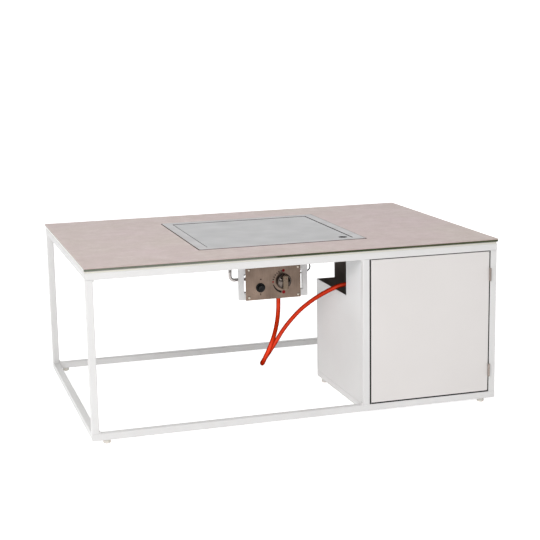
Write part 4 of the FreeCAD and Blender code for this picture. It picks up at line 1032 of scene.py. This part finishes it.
PRINT_EASE = 0.02 * mm
TICK_TURNS = (102, 115, 128, 141, 154, 167)
TICK_LENGTH, TICK_WIDTH = 4.4 * mm, 2.8 * mm
ARC_START, ARC_END = 196, 258
ARC_THIN, ARC_THICK = 2.6 * mm, 6.6 * mm
OFF_DOT, LOW_DOT, HALF_MARK = 4.4 * mm, 5.2 * mm, 4.8 * mm
IGNITER_MARK = (1.2 * mm, 3.2 * mm)
IGNITER_MARK_DROP = 20 * mm
black_marks = [tick(turn, TICK_LENGTH, TICK_WIDTH) for turn in TICK_TURNS]
black_marks += [swelling_arc(ARC_START, ARC_END, ARC_THIN, ARC_THICK),
                rectangle(*IGNITER_MARK, 0, (case_x, case_z - IGNITER_MARK_DROP))]
red_marks = [circle(OFF_DOT, on_ring(90), 32), circle(LOW_DOT, on_ring(270), 32),
             tick(180, HALF_MARK, HALF_MARK)]
printed("black_marks", black_marks, print_black, "black_plastic")
printed("red_marks", red_marks, print_red, "lamp")


def dome(radius, base, height, steps=8):
    """A dome's profile from its top to its rim."""
    turns = [math.pi / 2 * step / steps for step in range(steps + 1)]
    return [(radius * math.sin(turn), base + height * math.cos(turn)) for turn in turns]


low, high = screw_solids[0]
head_radius = (high.x - low.x) / 2
head_front = -low.y
shank_end = -high.y
SHANK_RADIUS = 2 * mm
HEAD_EDGE = 0.35 * mm
HEAD_UNDERCUT = 0.2 * mm
screw_profile = [(0, shank_end), (SHANK_RADIUS, shank_end), (SHANK_RADIUS, plate_front),
                 (head_radius - HEAD_UNDERCUT, plate_front)]
screw_profile += dome(head_radius, plate_front + HEAD_EDGE, head_front - plate_front - HEAD_EDGE)[::-1]
CROSS_ARM, CROSS_HALF, CROSS_TIP, CROSS_DEPTH = 2.3 * mm, 0.54 * mm, 0.44 * mm, 1.2 * mm
CROSS_EASE = 0.05 * mm
cross = []
arm = [(-CROSS_TIP, -CROSS_ARM), (CROSS_TIP, -CROSS_ARM), (CROSS_HALF, -CROSS_HALF)]
for quarter in range(4):
    cross += [Vector(corner) for corner in arm]
    arm = [(-y, x) for x, y in arm]
slot_shape = cut_sheet([cross], head_front - CROSS_DEPTH, head_front + CROSS_DEPTH, CROSS_EASE, 1)
slot_tool = placed("slot_tool", closed_mesh(slot_shape))
screw_blank = placed("screw_blank", closed_mesh(turned(screw_profile, 32)))
slotting = screw_blank.modifiers.new("slot", "BOOLEAN")
slotting.object = slot_tool
slotting.operation = "DIFFERENCE"
slotting.solver = "EXACT"
slotted = finished_mesh(screw_blank)
bpy.data.objects.remove(slot_tool)
slotted.transform(upright())
screw_steel = brushed_metal("screw steel", (0.66, 0.60, 0.52, 1), (0.50, 0.45, 0.38, 1), 0.2, (300, 300, 300))
screws = softened(repeated(slotted, [(x, 0, z) for x, z in screw_spots], screw_steel), SHARP_ANGLE)
piece("dome_screws", screws, screw_steel, "table", "fitting_steel", "plate_screws")


# The gas knob: a cast, chromed knob with a round skirt and a bar grip whose front is brushed, a red
# mark near the bar's top, on a steel stem that turns and pushes in.

knob_back, knob_front = -knob_high.y, -knob_low.y
skirt_radius = (knob_high.x - knob_low.x) / 2
SKIRT_FRONT = 143.5 * mm
DOME_FRONT = 147.5 * mm
knob_profile = eased([
    (0, knob_back), (skirt_radius - 1.6 * mm, knob_back), (skirt_radius, knob_back + 0.6 * mm),
    (skirt_radius, knob_back + 2.2 * mm), (skirt_radius - 2.6 * mm, SKIRT_FRONT),
    (skirt_radius - 3.8 * mm, SKIRT_FRONT), (skirt_radius - 4.6 * mm, SKIRT_FRONT - 1.2 * mm),
    (skirt_radius - 8 * mm, SKIRT_FRONT + 0.6 * mm), (skirt_radius - 15 * mm, DOME_FRONT), (0, DOME_FRONT)],
    [radius * mm for radius in (0, 0.5, 0.5, 1.2, 0.6, 0.4, 0.5, 4, 4, 0)])
# Painted reflection: the chrome is coloured dark brown for the dark, warm surroundings it mirrors.
knob_chrome_reflection = brushed_metal("knob chrome, painted reflection", (0.165, 0.138, 0.122, 1), (0.12, 0.10, 0.088, 1), 0.12,
                            (60, 60, 60), 0.000004)
knob_axis = upright(knob_x, knob_z)
skirt = closed_mesh(turned(knob_profile, 96), knob_axis)
piece("knob_skirt", skirt, knob_chrome_reflection, "knob", "knob_metal", "knob")

GRIP_HALF = 8 * mm
GRIP_REACH = 22.2 * mm
GRIP_STEPS = 8
GRIP_CORNER = 2.6 * mm
GRIP_EASE = 2.4 * mm
GRIP_SINK = 2 * mm
grip_turns = math.asin(GRIP_HALF / GRIP_REACH)
grip_end = [Vector((GRIP_REACH * math.sin(turn), GRIP_REACH * math.cos(turn)))
            for turn in [grip_turns * (1 - 2 * step / GRIP_STEPS) for step in range(GRIP_STEPS + 1)]]
grip_radii = [GRIP_CORNER if index % GRIP_STEPS == 0 else 0 for index in range(GRIP_STEPS + 1)]
grip_outline = eased(grip_end + [-corner for corner in grip_end], grip_radii * 2, 3, closed=True)
# Painted reflection: the grip's steel is coloured brown like the plate's.
knob_satin_reflection = brushed_metal("knob satin, painted reflection", (0.205, 0.156, 0.115, 1), (0.150, 0.114, 0.084, 1), 0.28,
                           (900, 900, 60))
grip = closed_mesh(cut_sheet([grip_outline], SKIRT_FRONT - GRIP_SINK, knob_front, GRIP_EASE, 5), knob_axis)
flatten_shading(piece("knob_grip", grip, knob_satin_reflection, "knob", "knob_metal"))
MARK_RADIUS = 1.3 * mm
MARK_UP = 13 * mm
MARK_SINK, MARK_PROUD = 0.4 * mm, 0.06 * mm
grip_mark = closed_mesh(cut_sheet([circle(MARK_RADIUS, (0, MARK_UP), 24)], knob_front - MARK_SINK,
                                  knob_front + MARK_PROUD, PRINT_EASE, 1), knob_axis)
piece("knob_mark", grip_mark, print_red, "knob", "lamp")
stem_steel = brushed_metal("stem steel", (0.50, 0.49, 0.47, 1), (0.40, 0.39, 0.37, 1), 0.3, (900, 40, 900))
finish_nodes(stem_steel, "valve_stem")


# The igniter: a black moulded case with a flange against the plate and a push button, and above it a
# small dark red signal lamp.

black_plastic = two_tone("black moulded plastic", (0.006, 0.006, 0.007, 1), (0.013, 0.013, 0.013, 1), 0.34,
                         2600, 0.00003, finish={"Specular IOR Level": 0.22})
case_front, case_back = -case_low.y, -case_high.y
flange_radius = (case_high.x - case_low.x) / 2
BARREL_RADIUS = 11 * mm
BUTTON_BORE = 9.3 * mm
BORE_DEPTH = 24 * mm
TERMINAL_RADIUS, TERMINAL_LENGTH = 3 * mm, 2 * mm
case_profile = eased([
    (0, case_back), (TERMINAL_RADIUS, case_back), (TERMINAL_RADIUS, case_back + TERMINAL_LENGTH),
    (BARREL_RADIUS, case_back + TERMINAL_LENGTH), (BARREL_RADIUS, plate_front), (flange_radius, plate_front),
    (flange_radius, case_front - 1.5 * mm), (flange_radius - 2.2 * mm, case_front),
    (BUTTON_BORE + 1.6 * mm, case_front), (BUTTON_BORE, case_front - 0.8 * mm),
    (BUTTON_BORE, case_front - BORE_DEPTH), (0, case_front - BORE_DEPTH)],
    [radius * mm for radius in (0, 0.4, 0, 0.8, 0, 0.4, 0.8, 0.8, 0.5, 0.3, 0.4, 0)])
igniter_case = closed_mesh(turned(case_profile, 64), upright(case_x, case_z))
piece("moulded_case", igniter_case, black_plastic, "table", "black_plastic", "igniter_case")

button_low, button_high = corners_of("igniter_button")
button_front, button_back = -button_low.y, -button_high.y
button_radius = (button_high.x - button_low.x) / 2
BUTTON_DISH = 0.9 * mm
button_profile = eased([
    (0, button_back), (button_radius, button_back), (button_radius, button_front),
    (button_radius - 2.4 * mm, button_front), (button_radius - 4.2 * mm, button_front - BUTTON_DISH),
    (0, button_front - BUTTON_DISH)], [radius * mm for radius in (0, 0.3, 1.1, 0.7, 0.9, 0)])
button = closed_mesh(turned(button_profile, 64), upright(case_x, case_z))
piece("push_button", button, black_plastic, "igniter_button", "black_plastic", "igniter_button")

LAMP_RED, LAMP_DARK = (0.040, 0.004, 0.005, 1), (0.018, 0.003, 0.004, 1)
lamp_material, tree, shader = blank("signal lamp")
lamp_clouds = noise(tree, place_coordinates(tree), 900)
feed(tree, shader, {"Base Color": blend_colours(tree, lamp_clouds, LAMP_RED, LAMP_DARK),
                    "Roughness": 0.25, "Specular IOR Level": 0.3})
lamp_profile = dome((lamp_high.x - lamp_low.x) / 2, plate_front, lamp_high.y - lamp_low.y)
lamp_profile.append((0, plate_front))
lamp = closed_mesh(turned(lamp_profile, 32), upright(lamp_x, lamp_z))
piece("lamp_dome", lamp, lamp_material, "table", "lamp", "signal_lamp")


# The valve behind the plate: a cast body with its magnet unit, the steel gas pipe that runs out past
# the hanger and up to the burner, its hex nuts, and the crimped hose fitting below.

cast_alloy = two_tone("cast alloy", (0.42, 0.41, 0.40, 1), (0.34, 0.33, 0.32, 1), 0.5, 900, 0.0001,
                      finish={"Metallic": 1.0})
refined("valve_body", 0.8 * mm, cast_alloy, "table", "valve_alloy")
pipe_steel = brushed_metal("gas pipe", (0.50, 0.47, 0.46, 1), (0.38, 0.35, 0.34, 1), 0.28,
                           (150, 150, 150), 0.000004)
finish_nodes(pipe_steel, "supply_pipe")
nut_brass = brushed_metal("nut brass", (0.62, 0.50, 0.28, 1), (0.50, 0.39, 0.21, 1), 0.25,
                          (400, 400, 400), 0.000006)
refined("pipe_nuts", 0.5 * mm, nut_brass, "table", "fitting_brass")
fitting_steel = brushed_metal("fitting steel", (0.55, 0.53, 0.50, 1), (0.44, 0.42, 0.40, 1), 0.26,
                              (400, 400, 60))
refined("hose_fitting", 0.5 * mm, fitting_steel, "table", "fitting_steel")


# The regulator on the cabinet's floor: a cast disc with a cap and tail, lacquered blue-grey, and the
# black moulded wheel of its coupling.

LACQUER, LACQUER_SHADE = (0.17, 0.20, 0.24, 1), (0.12, 0.145, 0.18, 1)
regulator_paint, tree, shader = blank("regulator lacquer")
skin = add(tree, "ShaderNodeGroup", {"Scale": 700, "Depth": 0.00006}, node_tree=peel)
feed(tree, shader, {"Base Color": blend_colours(tree, skin.outputs["Clouds"], LACQUER, LACQUER_SHADE),
                    "Metallic": 0.3, "Roughness": 0.4, "Normal": skin.outputs["Normal"]})
refined("regulator_body", 0.6 * mm, regulator_paint, "table", "regulator_paint")
refined("regulator_cap", 0.8 * mm, black_plastic, "table", "black_plastic")
refined("coupling_wheel", 0.1 * mm, black_plastic, "coupling_wheel", "black_plastic")


# The cabinet: folded sheet steel, white outside and dark inside, with a notch for the hose and slots
# in the floor; its outer white is painted lighter towards the top, painted light for the shade under the
# table top. Its folded door hangs on two knuckle hinges and closes against a magnet catch, and black
# strips set into the door's opening stand for the shadow in the gaps round the door: painted shadow.

INNER_DARK = (0.33, 0.285, 0.262, 1)
PAINTED_TOP_LIGHT = (0.88, 0.885, 0.90, 1)
TOP_LIGHT_FROM, TOP_LIGHT_TO = 0.26, 0.45
cabinet_paint, tree, shader = blank("cabinet paint")
skin = add(tree, "ShaderNodeGroup", node_tree=peel)
place = add(tree, "ShaderNodeSeparateXYZ", {"Vector": place_coordinates(tree)}).outputs
inside = 1.0
for wall, axis, side in (("panel_left", 0, "GREATER_THAN"), ("panel_right", 0, "LESS_THAN"),
                         ("panel_back", 1, "LESS_THAN"), ("floor", 2, "GREATER_THAN")):
    within = number(tree, side, place[axis], centre_of("cabinet_" + wall)[axis])
    inside = number(tree, "MULTIPLY", inside, within)
outer_paint = blend_colours(tree, skin.outputs["Clouds"], WHITE_PAINT, WHITE_PAINT_SHADE)
# Painted light: the outer white turns lighter between these heights, to make up for the shade under the table
# top.
top_light_mask = spread(tree, place["Z"], 0, 1, TOP_LIGHT_FROM, TOP_LIGHT_TO)
outer_paint = blend_colours(tree, top_light_mask, outer_paint, PAINTED_TOP_LIGHT)
feed(tree, shader, {
    "Base Color": blend_colours(tree, inside, outer_paint, INNER_DARK),
    "Roughness": spread(tree, skin.outputs["Clouds"], 0.38, 0.48, 0, 1),
    "Normal": skin.outputs["Normal"],
})
finish_nodes(cabinet_paint, "cabinet_panel_left", "cabinet_panel_back", "cabinet_panel_right",
             "cabinet_floor")
door_paint = powder_coat("door powder coat", (0.735, 0.705, 0.69, 1), (0.715, 0.685, 0.67, 1))
finish_nodes(door_paint, "door_panel")

# Painted shadow: black strips fill the gaps round the door in place of the shade that darkens them.
STRIP_LEFT, STRIP_TOP, STRIP_BOTTOM, STRIP_RIGHT = 3.4 * mm, 1.5 * mm, 2.9 * mm, 2.4 * mm
STRIP_MARGIN = 0.05 * mm
STRIP_SET_BACK = 0.6 * mm
STRIP_DEPTH = 9 * mm
STRIP_EASE = 0.3 * mm
LEAF_CLEARANCE = 0.5 * mm
gap_shadow_black = two_tone("black gap shadow", (0.010, 0.009, 0.009, 1), (0.024, 0.022, 0.021, 1), 0.8,
                        1600, 0.00008, finish={"Specular IOR Level": 0.1})
door_low, door_high = corners_of("door_panel")
post_side, leg_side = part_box("cabinet_post")[1][0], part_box("leg_front_right")[0][0]
rail_above, rail_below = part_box("top_rail_front")[0][2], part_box("bottom_rail_front")[1][2]
strip_boxes = [(post_side, post_side + STRIP_LEFT, rail_below, rail_above),
               (door_low.x, door_high.x, rail_above - STRIP_TOP, rail_above),
               (door_low.x, door_high.x, rail_below, rail_below + STRIP_BOTTOM)]
hinges = sorted(solids("hinge_frame_leaves"), key=lambda pair: pair[0].z)
strip_levels = [rail_below] + [level for low, high in hinges for level in (low.z, high.z)] + [rail_above]
strip_boxes += [(leg_side - STRIP_RIGHT, leg_side, low + LEAF_CLEARANCE, high - LEAF_CLEARANCE)
                for low, high in zip(strip_levels[::2], strip_levels[1::2])]
strip_outlines = [rectangle((right - left) / 2 - STRIP_MARGIN, (high - low) / 2 - STRIP_MARGIN, STRIP_EASE,
                            ((left + right) / 2, (low + high) / 2), 2)
                  for left, right, low, high in strip_boxes]
strip_front = -door_low.y - STRIP_SET_BACK
strips = gathered(strip_outlines, strip_front - STRIP_DEPTH, strip_front, STRIP_EASE, 2)
piece("door_strips", strips, gap_shadow_black, "table", "pad_rubber")

hinge_steel = brushed_metal("hinge steel", (0.36, 0.31, 0.28, 1), (0.26, 0.22, 0.20, 1), 0.36, (900, 900, 40))
refined("hinge_frame_leaves", 0.3 * mm, hinge_steel, "table", "fitting_steel")
refined("hinge_door_leaves", 0.3 * mm, hinge_steel, "door", "fitting_steel")
finish_nodes(hinge_steel, "hinge_pins")
strike_steel = brushed_metal("strike steel", (0.56, 0.55, 0.54, 1), (0.46, 0.45, 0.44, 1), 0.35,
                             (900, 900, 40))
refined("door_strike", 0.3 * mm, strike_steel, "door", "fitting_steel")
refined("magnet_catch", 0.8 * mm, black_plastic, "table", "black_plastic")
